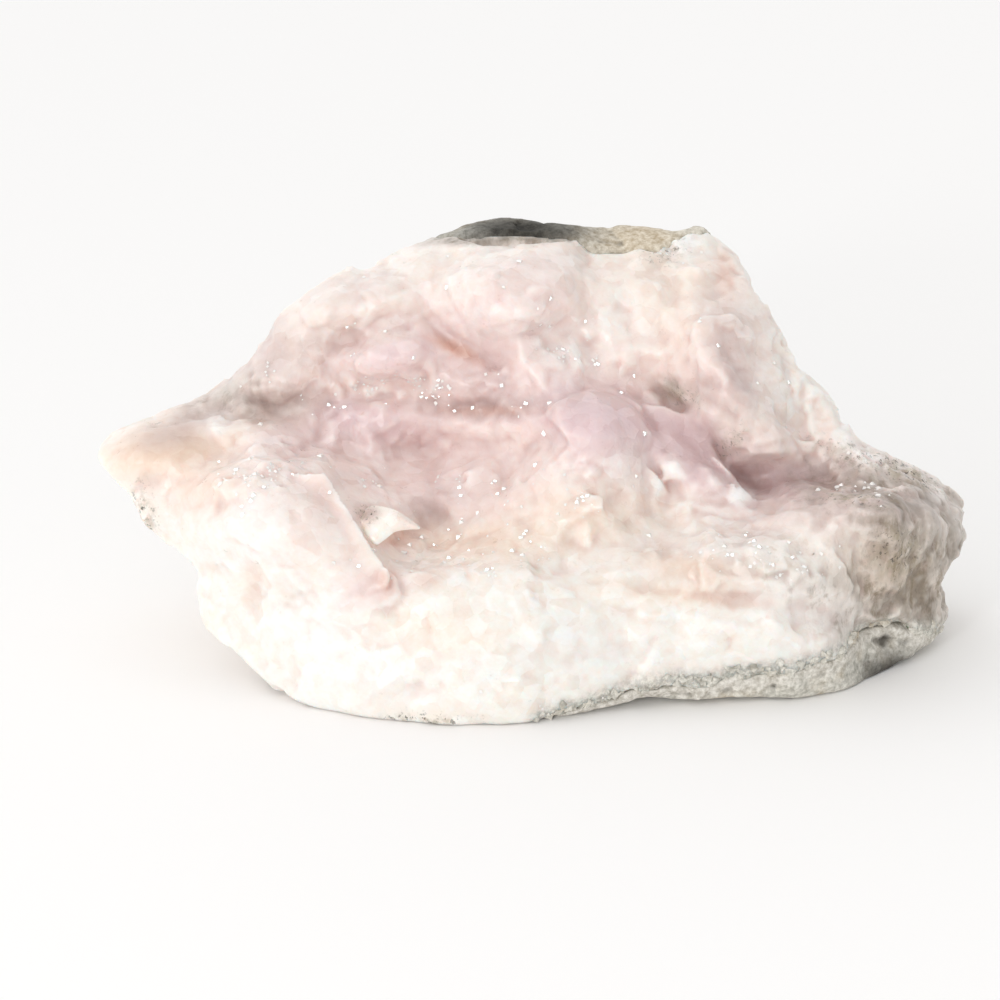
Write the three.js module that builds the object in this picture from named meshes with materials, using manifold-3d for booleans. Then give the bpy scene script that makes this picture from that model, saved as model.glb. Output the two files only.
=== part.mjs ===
// A hand-sized specimen of manganocalcite: pink-to-cream calcite grown as one thick crust
// over a floor and back wall of grey host rock, with a small pale blade of calcite in its hollow.
// Row frame: millimetres, +Z up, the crystal face towards -Y, resting on its flat underside at Z = 0.
import * as THREE from "three";
import { mergeGeometries, mergeVertices } from "three/addons/utils/BufferGeometryUtils.js";
import { ImprovedNoise } from "three/addons/math/ImprovedNoise.js";
import Module from "manifold-3d";

const wasm = await Module();
wasm.setup();

// ---------- Driving dimensions, millimetres and degrees ----------
const faceTilt = 20; // the crystal face looks up by this much
const faceCells = [54, 37]; // facets across and up the crystal face
const middle = [0.4, 43.3]; // middle of the footprint from the face plane's foot, which becomes X = Y = 0
const rimRoll = 3.5; // how far the face rolls back at its outline
const rollWidth = 0.12; // over this share of the way in from the outline
const contactGap = 0.3; // between two solids that touch
const wide = 400; // a cutting block's sides, clear of the stone all round
const thick = 100;
const back = {
  pole: [6, 86, 34], // its furthest point, from the face plane's foot
  rings: [0.13, 0.3, 0.5, 0.7, 0.87], // where its facet rows lie, rim 0 to pole 1
  drawIn: 0.62, // power of its curve towards the pole: lower is blunter
  reachBack: 0.85,
  sag: 9, // how far it hangs below that curve where the rim is low
  sagBelow: 46, // rim height at which the sag has died out
  roughness: 4,
  waves: [17, 14, 15], // length of the roughness along X, Y and Z
};

// The face's outline, in four sides that run to the right and up, in face millimetres:
// x to the right, v up the tilted face.
const lowerSide = [
  [-48, 7.5], [-44, 5], [-38, 2], [-26, -1.5], [-14, -1.5], [0, 0], [8, 2.5], [18, 4.5], [30, 4.5],
  [42, 5], [54, 4.5], [62, 5], [66.5, 7.5],
];
const rightSide = [
  [66.5, 7.5], [67.5, 11.5], [74, 14], [77.5, 19], [77, 24], [80, 31], [82, 40], [80, 43.5], [75, 45.5],
  [66, 48.5], [60, 52], [56, 59], [52, 63],
];
const upperSide = [
  [-81, 49], [-78, 53], [-71, 57], [-63.5, 59.5], [-56, 64.5], [-48.5, 72], [-47, 76], [-45, 79.5],
  [-38, 82.5], [-30, 84], [-24, 87], [-17, 89.5], [-11, 93], [-2, 92.5], [5, 92], [13, 92], [22, 93.5],
  [25, 92.5], [28.5, 94], [30.5, 94], [33.5, 91], [38, 86.5], [41, 81], [44.5, 74], [48.5, 68], [52, 63],
];
const leftSide = [
  [-48, 7.5], [-51, 10], [-58, 15.5], [-61, 21], [-62, 27.5], [-67, 32], [-71.5, 36], [-74, 41],
  [-77, 44.5], [-81, 49],
];

// The brow, where the front turns into the bench: [x, height v] and [x, depth out of the face plane].
const browLine = [
  [-82, 48], [-65, 46], [-50, 42], [-38, 37], [-25, 27], [-15, 25], [0, 25], [20, 27], [35, 30],
  [55, 34], [85, 36],
];
const browDepth = [
  [-82, -24], [-65, -18], [-50, -12], [-38, -7], [-20, -1], [0, -1], [15, -5], [35, -8], [55, -12],
  [70, -23], [85, -42],
];
// The bench and the back wall: [height above the brow, depth behind it].
const benchRise = [
  [0, 0], [4, -6], [10, -14], [16, -20], [24, -25], [32, -27], [42, -28.5], [52, -31], [60, -36], [70, -44],
];
const belly = { bulge: 2, height: 12 }; // how far the front bulges, over this height below the brow

// Broad swells and hollows of the face: middle, half-width along and across, turn, rise.
const swells = {
  valley: { at: [-23, 50], reach: [23, 7], turn: -10, rise: -10 },
  bladeHollow: { at: [-18, 34.5], reach: [9, 4.5], turn: 8, rise: -9 },
  centralMound: { at: [9, 51], reach: [12, 9], turn: -15, rise: 11 },
  moundApron: { at: [3, 40], reach: [18, 8], turn: 0, rise: 4 },
  upperLobe: { at: [-3, 80], reach: [16, 9], turn: 10, rise: 6 },
  upperLeftLedge: { at: [-36, 76], reach: [13, 5], turn: 18, rise: 5 },
  rhombMound: { at: [-43, 36], reach: [12, 12], turn: 0, rise: 8 },
  leftWing: { at: [-69, 51], reach: [9, 5], turn: 20, rise: 6 },
  rightWall: { at: [33, 68], reach: [12, 13], turn: 20, rise: 9 },
  pocket: { at: [51, 45.5], reach: [8, 2.8], turn: 3, rise: -10 },
  rightShoulder: { at: [63, 39], reach: [14, 6], turn: -10, rise: 6 },
  lowerRightSetBack: { at: [64, 12], reach: [9, 9], turn: 0, rise: -7 },
};
// Lumps with a sharp foot: middle, half-width along and across, turn, height.
const lumps = {
  lavenderLobe: { at: [-26.4, 67.3], reach: [9.5, 5], turn: 4, rise: 6 },
  leftLobe: { at: [-47, 64.5], reach: [11, 6.5], turn: 27, rise: 5.5 },
  upperLeftLobe: { at: [-36, 76], reach: [13, 5], turn: 16, rise: 3 },
  upperLobe: { at: [-3, 79.5], reach: [15, 9], turn: 8, rise: 3.5 },
  wallBoss: { at: [2, 66], reach: [9, 5.5], turn: -12, rise: 2.5 },
  rightWall: { at: [36, 64], reach: [13, 11], turn: -58, rise: 3 },
  saddleLump: { at: [16, 77], reach: [8, 9], turn: 0, rise: 2 },
  moundCrown: { at: [13, 53.5], reach: [11, 7], turn: -14, rise: 6 },
  slabFoot: { at: [28.5, 45.8], reach: [8, 3.4], turn: -42, rise: 4.5 },
  moundTier: { at: [9, 42], reach: [14, 8.5], turn: 6, rise: 4 },
  valleyBoss: { at: [-28, 54], reach: [10, 5.2], turn: 0, rise: 4 },
  valleyFloor: { at: [-12, 48], reach: [7.5, 5], turn: -30, rise: 2 },
  leftMound: { at: [-48.5, 51.3], reach: [6.5, 4.4], turn: 6, rise: 5 },
  leftKnob: { at: [-54.5, 56], reach: [5, 3.2], turn: -30, rise: 2.5 },
  ridgeOfRhombs: { at: [-49, 44], reach: [12, 3.8], turn: 12, rise: 3 },
  leftCheek: { at: [-54, 34], reach: [9.5, 7], turn: -20, rise: 2.5 },
  rhombFlank: { at: [-49, 31], reach: [8, 7], turn: 35, rise: 3 },
  leftFoot: { at: [-35, 14], reach: [15, 9], turn: -8, rise: 2.5 },
  frontBelly: { at: [-3, 12.5], reach: [17, 9], turn: 0, rise: 2 },
  frontShelf: { at: [38, 29], reach: [13, 5], turn: -7, rise: 3 },
  lowerShelf: { at: [39, 15.5], reach: [20, 5.5], turn: -3, rise: 2.5 },
  shoulder: { at: [61, 38.5], reach: [17, 6], turn: -8, rise: 3 },
  shoulderCrest: { at: [66, 46.5], reach: [10, 3], turn: -16, rise: 2.5 },
};
// Cobbles: the growth fronts that crowd the crust.
const cobble = {
  pitch: 8.5,
  reach: 7, // half-width
  benchRise: 3, // how high they stand on the bench, and on the front
  frontRise: 1.2,
  scatter: 0.6, // how far they stand from even places, as a share of the pitch
  heights: [0.7, 0.6], // middle and spread of their heights, as shares of the rise
};
// Roughness of the crust: height and wave length, and how ragged the lumps' feet are.
const roughness = {
  broad: { height: 1.2, wave: 9, layer: 3.3 },
  fine: { height: 0.4, wave: 4.5, layer: 9.7 },
  foot: { height: 0.25, wave: 3, layer: 7.1 },
};
// Furrows and cracks: a line of points, half-width, depth.
const furrows = {
  slabCrevice: { path: [[20, 61], [26, 56], [32, 50], [39, 45], [43, 41.5]], width: 2.2, depth: 10 },
  lobeRecess: { path: [[-19, 73], [-13.6, 69.4], [-6, 66]], width: 2.4, depth: 6 },
  ledgeShadow: { path: [[-36, 60], [-26, 60], [-15, 58.5]], width: 1.8, depth: 4 },
  slit: { path: [[-15, 57.5], [-9, 58], [-4, 56.5]], width: 1.3, depth: 5 },
  leftShadow: { path: [[-61, 58], [-52, 56.8], [-43, 57.2]], width: 2, depth: 5 },
  frontGroove: { path: [[17, 25], [29, 24], [38, 22], [52, 20.5], [64, 15]], width: 1.4, depth: 3.5 },
  terraceCrack: { path: [[1, 29], [13, 28.5]], width: 1.2, depth: 2.5 },
  leftNotch: { path: [[-51, 28], [-50.5, 23]], width: 1.6, depth: 3 },
};

// Crystals that stand clear of the crust. The two great faces: three corners [x, v, depth out].
const greatRhomb = {
  corner: [-37.7, 45.8, -8],
  right: [-26.1, 27.3, 2],
  left: [-49.3, 41, -8.5],
  thickness: 12,
};
const mauveSlab = {
  corner: [22.4, 59.2, -31],
  right: [37, 46, -25],
  left: [24.6, 51.5, -24.5],
  thickness: 7,
};
// Patches of small rhombs: middle, half-width along and across, turn, how many, and their edges.
const rhombPatches = [
  { at: [-48, 43.5], reach: [9, 2.4], turn: 12, count: 10, edges: [2, 3.6] },
  { at: [-27, 59], reach: [22, 1.6], turn: -2, count: 8, edges: [1.6, 2.4] },
  { at: [8, 68], reach: [4, 5], turn: -40, count: 5, edges: [1.6, 2.6] },
  { at: [-10.5, 44.5], reach: [3, 3], turn: 0, count: 4, edges: [1.6, 2.4] },
  { at: [9.5, 41.5], reach: [5, 2.4], turn: 0, count: 4, edges: [1.6, 2.6] },
  { at: [32, 43.5], reach: [10, 2.4], turn: -24, count: 7, edges: [2, 3.6] },
  { at: [-2, 26.5], reach: [28, 1.8], turn: 0, count: 8, edges: [1.8, 3] },
];
const rhombLean = 0.6; // how far a small rhomb may lean off the face's normal
const rhombProud = 0.15; // how far its middle stands out of the crust, as a share of its edge
const flattening = 0.697; // calcite's cleavage rhomb is a cube pressed together along one long diagonal

// The blade: its spine in face millimetres [x, v, depth out], and its width at each of those points.
const bladeSpine = [
  [-31, 30, -14], [-29.5, 33.5, -7], [-26.5, 36, -4], [-23.5, 36.4, -2.8], [-20.5, 35, -2.4],
];
const bladeWidths = [5, 6, 5.4, 3.6, 0.5];
const bladeFlat = [-0.25, 0.35, 0.9]; // the way its flat side faces
const bladeThickness = 1.4;
const bladeSides = 6;
const bladeSteps = 12;

// The host rock's top: [x, height at the front], and the wall that it climbs at the back.
const rockFloor = [
  [-90, -6], [-20, -6], [-2, -1], [10, 2], [20, 3.5], [40, 5], [54, 7], [62, 8], [68, 7], [74, 3], [90, 0],
];
const rockWall = { foot: 42, top: 69, height: 76, bend: 3 };
const hiddenBehind = 7; // how much deeper the wall stands where calcite covers the skyline
const skyline = [-15, 25]; // between these x the rock shows above the calcite
const skylineBlend = 6; // over this length at each end
const wallWave = { height: 1.5, wave: 8, layer: 4.4 };
const floorWave = { height: 1, wave: 6, layer: 1.5 };
// The block that the contact is shaped on, clear of the stone all round.
const rockBlock = { width: 200, depth: 150, middle: 50, foot: -30, ceiling: 140 };
const rockCells = [34, 26]; // facets of the contact along and across

// Where the specimen was broken out of the rock behind it: a point of each flat break and the way it faces.
const breaks = [
  { at: [-50, 65, 35], facing: [-0.45, 0.86, 0.24] },
  { at: [50, 71.2, 34], facing: [0.42, 0.9, 0.1] },
  { at: [10, 81.5, 60], facing: [0.05, 0.93, 0.36] },
  { at: [0, 77.5, 12], facing: [-0.1, 0.85, -0.5] },
  { at: [-52, 57, 12], facing: [-0.6, 0.35, -0.7] },
];

// ---------- Shape helpers ----------
const noise = new ImprovedNoise();
const radians = THREE.MathUtils.degToRad;
const { clamp, lerp, smoothstep } = THREE.MathUtils;

// Waviness at a spot. Each layer is another slice of the same noise.
const waviness = ({ height, wave, layer }, x, y) => height * noise.noise(x / wave, y / wave, layer);

// A smooth curve through [key, value] stations, read at a key.
function through(stations) {
  const keys = stations.map((s) => s[0]);
  const curve = new THREE.CubicInterpolant(keys, stations.map((s) => s[1]), 1);
  return (key) => curve.evaluate(clamp(key, keys[0], keys[keys.length - 1]))[0];
}
const browAt = through(browLine);
const browOut = through(browDepth);
const benchAt = through(benchRise);
const rockFloorAt = through(rockFloor);

// A point at a share of a side's length.
function along(side, share) {
  const lengths = side.slice(1).map((p, i) => Math.hypot(p[0] - side[i][0], p[1] - side[i][1]));
  let left = share * lengths.reduce((sum, l) => sum + l, 0);
  let i = 0;
  while (i < lengths.length - 1 && left > lengths[i]) {
    left -= lengths[i];
    i += 1;
  }
  const t = Math.min(1, left / lengths[i]);
  return [0, 1].map((k) => side[i][k] + t * (side[i + 1][k] - side[i][k]));
}

// The outline filled in from its four sides.
function faceSpot(a, b) {
  const [low, high] = [along(lowerSide, a), along(upperSide, a)];
  const [left, right] = [along(leftSide, b), along(rightSide, b)];
  return [0, 1].map((k) => {
    const sides = lerp(low[k], high[k], b) + lerp(left[k], right[k], a);
    const lowerCorners = lerp(lowerSide[0][k], lowerSide.at(-1)[k], a);
    const upperCorners = lerp(upperSide[0][k], upperSide.at(-1)[k], a);
    return sides - lerp(lowerCorners, upperCorners, b);
  });
}

// How far a spot lies from a form's middle, as a share of its half-widths.
function share(form, x, v) {
  const turn = radians(form.turn);
  const [dx, dv] = [x - form.at[0], v - form.at[1]];
  const run = (dx * Math.cos(turn) + dv * Math.sin(turn)) / form.reach[0];
  const rise = (dv * Math.cos(turn) - dx * Math.sin(turn)) / form.reach[1];
  return Math.hypot(run, rise);
}

// How far a spot lies from a line of points.
function distanceTo(path, x, v) {
  let nearest = Infinity;
  for (let i = 0; i + 1 < path.length; i++) {
    const [[ax, av], [bx, bv]] = [path[i], path[i + 1]];
    const lengthSquared = (bx - ax) ** 2 + (bv - av) ** 2;
    const t = clamp(((x - ax) * (bx - ax) + (v - av) * (bv - av)) / lengthSquared, 0, 1);
    nearest = Math.min(nearest, Math.hypot(x - lerp(ax, bx, t), v - lerp(av, bv, t)));
  }
  return nearest;
}

// The highest of the cobbles round a spot, as a share of their rise. Each stands at its own height.
function cobbles(x, v) {
  const { pitch, reach, scatter, heights } = cobble;
  let highest = 0;
  const [column, row] = [x, v].map((p) => Math.floor(p / pitch));
  for (let i = column - 1; i <= column + 1; i++) {
    for (let j = row - 1; j <= row + 1; j++) {
      const roll = (layer) => noise.noise(i * 3.7 + 0.5, j * 4.3 + 0.5, layer); // each cobble's own draws
      const dx = x - (i + 0.5 + scatter * roll(1.5)) * pitch;
      const dv = v - (j + 0.5 + scatter * roll(7.5)) * pitch;
      const d = Math.hypot(dx, dv) / reach;
      highest = Math.max(highest, (1 - d * d) * (heights[0] + heights[1] * roll(4.5)));
    }
  }
  return highest;
}

// Depth of the crystal face out of its plane.
function relief(x, v) {
  const above = v - browAt(x);
  const front = belly.bulge * Math.sin(Math.PI * clamp(-above / belly.height, 0, 1));
  let depth = browOut(x) + (above > 0 ? benchAt(above) : front);
  for (const s of Object.values(swells)) depth += s.rise * Math.exp(-(share(s, x, v) ** 2));
  for (const f of Object.values(furrows)) {
    const across = distanceTo(f.path, x, v) / f.width;
    depth -= f.depth * Math.exp(-(across ** 2));
  }
  depth += cobbles(x, v) * lerp(cobble.frontRise, cobble.benchRise, smoothstep(above, -3, 4));
  let lump = 0;
  for (const l of Object.values(lumps)) {
    const d = share(l, x, v) + waviness(roughness.foot, x, v);
    if (d < 1) lump = Math.max(lump, l.rise * Math.sqrt(1 - d * d));
  }
  return depth + lump + waviness(roughness.broad, x, v) + waviness(roughness.fine, x, v);
}

// From the tilted face to the row frame.
const [up, out] = [Math.sin(radians(faceTilt)), Math.cos(radians(faceTilt))];
const toRow = (x, v, depth) => new THREE.Vector3(x, v * up - depth * out, v * out + depth * up);

// A closed mesh as a solid, and back.
function solidOf(geometry) {
  const bare = geometry.index ? geometry.clone() : geometry;
  for (const name of Object.keys(bare.attributes)) if (name !== "position") bare.deleteAttribute(name);
  const merged = mergeVertices(bare, 1e-3);
  const kept = [];
  for (let i = 0; i < merged.index.count; i += 3) {
    const [a, b, c] = [0, 1, 2].map((k) => merged.index.getX(i + k));
    if (a !== b && b !== c && c !== a) kept.push(a, b, c);
  }
  return new wasm.Manifold(
    new wasm.Mesh({
      numProp: 3,
      vertProperties: new Float32Array(merged.attributes.position.array),
      triVerts: new Uint32Array(kept),
    }),
  );
}

function meshOf(name, solid, material) {
  const bodies = solid.decompose().sort((p, q) => q.volume() - p.volume());
  const { vertProperties, triVerts } = bodies[0].getMesh();
  const geometry = new THREE.BufferGeometry();
  geometry.setAttribute("position", new THREE.BufferAttribute(vertProperties, 3));
  geometry.setIndex(new THREE.BufferAttribute(triVerts, 1));
  geometry.computeVertexNormals();
  const mesh = new THREE.Mesh(geometry, material);
  mesh.name = name;
  return mesh;
}

// ---------- The whole stone ----------
// Share of the way in from the outline, 0 on it and 1 past the rolled rim.
const inFromRim = (a, b) => Math.min(1, Math.min(a, 1 - a, b, 1 - b) / rollWidth);

function facePoint(a, b) {
  const [x, v] = faceSpot(a, b);
  const roll = rimRoll * (1 - Math.sqrt(1 - (1 - inFromRim(a, b)) ** 2));
  return toRow(x, v, relief(x, v) - roll);
}

// A point of the back, on its way from a point of the rim to the pole.
function backPoint(rim, t) {
  const angle = (t * Math.PI) / 2;
  const inward = 1 - Math.cos(angle) ** back.drawIn;
  const backward = Math.sin(angle) ** back.reachBack;
  const midway = Math.sin(t * Math.PI);
  const sag = back.sag * midway * smoothstep(back.sagBelow - rim.z, 0, back.sagBelow);
  const p = new THREE.Vector3(
    lerp(rim.x, back.pole[0], inward),
    lerp(rim.y, back.pole[1], backward),
    lerp(rim.z, back.pole[2], inward) - sag,
  );
  // Each way has its own slice of the noise.
  const rough = back.waves.map((wave, k) => noise.noise(p.x / wave + 5 * k, p.y / wave, p.z / wave));
  return p.addScaledVector(new THREE.Vector3(...rough), back.roughness * midway);
}

// Makes each cell's two facets meet along its shorter diagonal, which keeps ledges crisp.
function splitAlongShorterDiagonals(grid) {
  const index = grid.index.array;
  const at = (i) => new THREE.Vector3().fromBufferAttribute(grid.attributes.position, i);
  for (let i = 0; i < index.length; i += 6) {
    const [a, b, d, c] = [index[i], index[i + 1], index[i + 2], index[i + 4]];
    if (at(a).distanceTo(at(c)) < at(b).distanceTo(at(d))) index.set([a, b, c, a, c, d], i);
  }
}

function stone() {
  const [across, tall] = faceCells;
  const face = new THREE.PlaneGeometry(1, 1, across, tall);
  const spots = face.attributes.position;
  for (let i = 0; i < spots.count; i++) {
    const p = facePoint(spots.getX(i) + 0.5, spots.getY(i) + 0.5);
    spots.setXYZ(i, p.x, p.y, p.z);
  }
  splitAlongShorterDiagonals(face);
  // The rim, anticlockwise as the viewer sees it, so that the back's facets face outwards.
  const corner = (i, j) => new THREE.Vector3().fromBufferAttribute(spots, (tall - j) * (across + 1) + i);
  const rim = [];
  for (let i = 0; i < across; i++) rim.push(corner(i, 0));
  for (let j = 0; j < tall; j++) rim.push(corner(across, j));
  for (let i = across; i > 0; i--) rim.push(corner(i, tall));
  for (let j = tall; j > 0; j--) rim.push(corner(0, j));
  const rings = [0, ...back.rings, 1];
  const rear = new THREE.PlaneGeometry(1, 1, rim.length, rings.length - 1);
  const corners = rear.attributes.position;
  for (const [r, t] of rings.entries()) {
    for (let k = 0; k <= rim.length; k++) {
      const start = rim[k % rim.length];
      const p = t === 1 ? new THREE.Vector3(...back.pole) : backPoint(start, t);
      if (t === 0) p.copy(start);
      corners.setXYZ(r * (rim.length + 1) + k, p.x, p.y, p.z);
    }
  }
  return solidOf(mergeGeometries([face, rear]));
}

// ---------- The host rock's region, with its top lifted by the gap where calcite is cut to fit ----------
function rockRegion(lift) {
  const block = new THREE.BoxGeometry(rockBlock.width, rockBlock.depth, 1, ...rockCells, 1);
  const spots = block.attributes.position;
  for (let i = 0; i < spots.count; i++) {
    const [x, y] = [spots.getX(i), spots.getY(i) + rockBlock.middle];
    const fromLeft = smoothstep(x, skyline[0] - skylineBlend, skyline[0]);
    const showing = fromLeft * (1 - smoothstep(x, skyline[1], skyline[1] + skylineBlend));
    const behind = y - hiddenBehind * (1 - showing) + waviness(wallWave, x, 0) + lift;
    const climb = Math.max(0, (behind - rockWall.foot) / (rockWall.top - rockWall.foot));
    const floor = rockFloorAt(x) + waviness(floorWave, x, y) + lift;
    const top = Math.min(floor + rockWall.height * climb ** rockWall.bend, rockBlock.ceiling);
    spots.setXYZ(i, x, y, spots.getZ(i) > 0 ? top : rockBlock.foot);
  }
  return solidOf(block);
}

// ---------- Crystals ----------
// A block of crystal behind one slanting face, given by three of that face's corners.
function crystalBlock({ corner, right, left, thickness }) {
  const start = toRow(...corner);
  const down = toRow(...right).sub(start);
  const across = toRow(...left).sub(start);
  const outward = across.clone().cross(down).normalize();
  const block = new THREE.BoxGeometry(1, 1, 1).translate(0.5, 0.5, -0.5);
  block.applyMatrix4(new THREE.Matrix4().makeBasis(across, down, outward.multiplyScalar(thickness)));
  return solidOf(block.translate(start.x, start.y, start.z));
}

// One cleavage rhomb that points along a direction.
function rhomb(edge, centre, pointing, spin) {
  const diagonal = new THREE.Vector3(1, 1, 1).normalize();
  const cube = new THREE.BoxGeometry(edge, edge, edge);
  const spots = cube.attributes.position;
  for (let i = 0; i < spots.count; i++) {
    const p = new THREE.Vector3().fromBufferAttribute(spots, i);
    p.addScaledVector(diagonal, (flattening - 1) * p.dot(diagonal));
    spots.setXYZ(i, p.x, p.y, p.z);
  }
  const turned = new THREE.Quaternion().setFromUnitVectors(diagonal, pointing);
  cube.applyQuaternion(turned.multiply(new THREE.Quaternion().setFromAxisAngle(diagonal, spin)));
  return solidOf(cube.translate(centre.x, centre.y, centre.z));
}

// Numbers between 0 and 1, the same on every run.
function seeded(seed) {
  let state = seed;
  return () => {
    state = (Math.imul(state, 1664525) + 1013904223) >>> 0;
    return state / 2 ** 32;
  };
}

function smallRhombs() {
  const random = seeded(7);
  const made = [];
  for (const patch of rhombPatches) {
    for (let i = 0; i < patch.count; i++) {
      const angle = 2 * Math.PI * random();
      const radius = Math.sqrt(random());
      const spot = new THREE.Vector2(patch.reach[0] * Math.cos(angle), patch.reach[1] * Math.sin(angle));
      spot.multiplyScalar(radius).rotateAround(new THREE.Vector2(), radians(patch.turn));
      const [x, v] = [patch.at[0] + spot.x, patch.at[1] + spot.y];
      const edge = lerp(...patch.edges, random());
      const lean = () => rhombLean * (2 * random() - 1);
      const pointing = toRow(lean(), lean(), 1).normalize();
      const centre = toRow(x, v, relief(x, v) + rhombProud * edge);
      made.push(rhomb(edge, centre, pointing, 2 * Math.PI * random()));
    }
  }
  return made;
}

// ---------- The blade: flat sections swept along its spine, sharp at both edges ----------
function blade(grow) {
  const spine = new THREE.CatmullRomCurve3(bladeSpine.map((p) => toRow(...p)));
  const widthAt = through(bladeWidths.map((width, i) => [i / (bladeWidths.length - 1), width]));
  const flat = toRow(...bladeFlat).normalize();
  const sheet = new THREE.CylinderGeometry(1, 1, 1, bladeSides, bladeSteps);
  const spots = sheet.attributes.position;
  for (let i = 0; i < spots.count; i++) {
    const t = spots.getY(i) + 0.5;
    const onward = spine.getTangent(t);
    const across = onward.clone().cross(flat).normalize();
    const end = Math.trunc(2 * spots.getY(i)); // -1 and 1 at the two ends, 0 between them
    const p = spine.getPoint(t);
    p.addScaledVector(across, spots.getX(i) * (widthAt(t) / 2 + grow));
    p.addScaledVector(flat, spots.getZ(i) * (bladeThickness / 2 + grow));
    p.addScaledVector(onward, end * grow);
    spots.setXYZ(i, p.x, p.y, p.z);
  }
  return solidOf(sheet);
}

// What lies beyond a flat break.
function beyond({ at, facing }) {
  const outward = new THREE.Vector3(...facing).normalize();
  const block = new THREE.BoxGeometry(wide, wide, thick).translate(0, 0, thick / 2);
  block.applyQuaternion(new THREE.Quaternion().setFromUnitVectors(new THREE.Vector3(0, 0, 1), outward));
  return solidOf(block.translate(...at));
}

// ---------- Assembly ----------
const crystals = [crystalBlock(greatRhomb), crystalBlock(mauveSlab), ...smallRhombs()];
const whole = crystals.reduce((joined, crystal) => joined.add(crystal), stone());
const floorBlock = solidOf(new THREE.BoxGeometry(wide, wide, thick).translate(0, 0, -thick / 2));
const resting = breaks.reduce((left, face) => left.subtract(beyond(face)), whole).subtract(floorBlock);
const calcite = resting.subtract(rockRegion(contactGap)).subtract(blade(contactGap));
const hostRock = resting.intersect(rockRegion(0));

const calciteFinish = new THREE.MeshStandardMaterial({ color: 0xeed8d2, roughness: 0.35, metalness: 0 });
const rockFinish = new THREE.MeshStandardMaterial({ color: 0x77736a, roughness: 0.9, metalness: 0 });
const bladeFinish = new THREE.MeshStandardMaterial({ color: 0xf1e9de, roughness: 0.4, metalness: 0 });

const specimen = new THREE.Group();
specimen.position.set(-middle[0], -middle[1], 0);
specimen.add(meshOf("calcite_mass", calcite, calciteFinish));
specimen.add(meshOf("matrix_rock", hostRock, rockFinish));
specimen.add(meshOf("white_blade", blade(0), bladeFinish));
export default specimen;
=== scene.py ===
# A hand specimen of manganocalcite: pink to cream calcite crust on grey host rock, resting on a pale floor.
import math
from functools import partial

import bmesh
import bpy
import numpy as np
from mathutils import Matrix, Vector
from mathutils.bvhtree import BVHTree
from mathutils.kdtree import KDTree


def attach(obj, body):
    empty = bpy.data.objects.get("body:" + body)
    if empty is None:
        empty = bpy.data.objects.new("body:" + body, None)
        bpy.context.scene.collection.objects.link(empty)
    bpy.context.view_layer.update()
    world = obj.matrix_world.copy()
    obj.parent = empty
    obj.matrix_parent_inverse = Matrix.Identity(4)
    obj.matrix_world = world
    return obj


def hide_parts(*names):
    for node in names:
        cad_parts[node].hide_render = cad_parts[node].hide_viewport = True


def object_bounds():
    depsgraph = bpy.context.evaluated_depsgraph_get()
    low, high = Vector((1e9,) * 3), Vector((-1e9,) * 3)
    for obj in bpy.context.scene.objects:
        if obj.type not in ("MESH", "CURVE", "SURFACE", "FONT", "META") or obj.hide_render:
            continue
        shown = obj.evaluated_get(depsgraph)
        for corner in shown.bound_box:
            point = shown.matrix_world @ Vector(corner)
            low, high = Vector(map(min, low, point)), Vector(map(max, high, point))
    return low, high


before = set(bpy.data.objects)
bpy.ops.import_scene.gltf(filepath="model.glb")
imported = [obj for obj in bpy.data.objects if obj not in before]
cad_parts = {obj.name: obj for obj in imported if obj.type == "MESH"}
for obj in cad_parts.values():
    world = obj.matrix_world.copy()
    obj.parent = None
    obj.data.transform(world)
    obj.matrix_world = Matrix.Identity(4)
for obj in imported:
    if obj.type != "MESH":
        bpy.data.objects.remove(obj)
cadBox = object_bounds()
scene = bpy.context.scene
mm = 0.001
restHeights = (0.2, 2.0)  # millimetres above the floor over which relief fades out, so that the underside stays flat
bluntCorner = math.radians(102)  # of calcite's cleavage rhomb
print("frame loaded:", ", ".join(sorted(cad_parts)))

# The crystal face is a tilted plane: x to the right, v up it and w out of it, in millimetres from its foot.
faceTilt = math.radians(20)
faceFoot = (-0.4, -43.3)
upSin, upCos = math.sin(faceTilt), math.cos(faceTilt)


def toFace(points):
    x = points[:, 0] / mm - faceFoot[0]
    y = points[:, 1] / mm - faceFoot[1]
    z = points[:, 2] / mm
    return x, y * upSin + z * upCos, z * upSin - y * upCos


def fromFace(x, v, w):
    return Vector((x + faceFoot[0], v * upSin - w * upCos + faceFoot[1], v * upCos + w * upSin)) * mm


faceOut = Vector((0, -upCos, upSin))
outward = np.array(faceOut)


def toLinear(code):
    parts = [int(code[i : i + 2], 16) / 255 for i in (1, 3, 5)]
    return tuple(p / 12.92 if p <= 0.04045 else ((p + 0.055) / 1.055) ** 2.4 for p in parts)


def newObject(name, data):
    obj = bpy.data.objects.new(name, data)
    scene.collection.objects.link(obj)
    return obj


# Camera: long lens, level with the tilted face
camera = dict(lens=135, distance=662, aim=(-6.2, 40.6))


def addCamera():
    cam = newObject("camera", bpy.data.cameras.new("camera"))
    cam.data.lens = camera["lens"]
    cam.data.sensor_width = 36
    cam.data.clip_end = 20
    cam.location = fromFace(*camera["aim"], camera["distance"])
    cam.rotation_euler = (math.radians(90) - faceTilt, 0, 0)
    scene.camera = cam


addCamera()

# Studio: white surroundings, brighter behind and on the left, and one soft key from the front left
studio = dict(
    floor="#FCFBFA",
    floorSize=6.0,
    leftRight=(0.98, 0.56),  # radiance of the surroundings at the left and the right
    frontBack=(1.0, 1.16),  # its factor towards the front and towards the back
    keyPlace=(-0.4, -0.85, 0.3),
    keySize=0.12,
    keyPower=1.7,
    lit=(0, 0, 0.03),  # where the key light points
)


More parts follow.
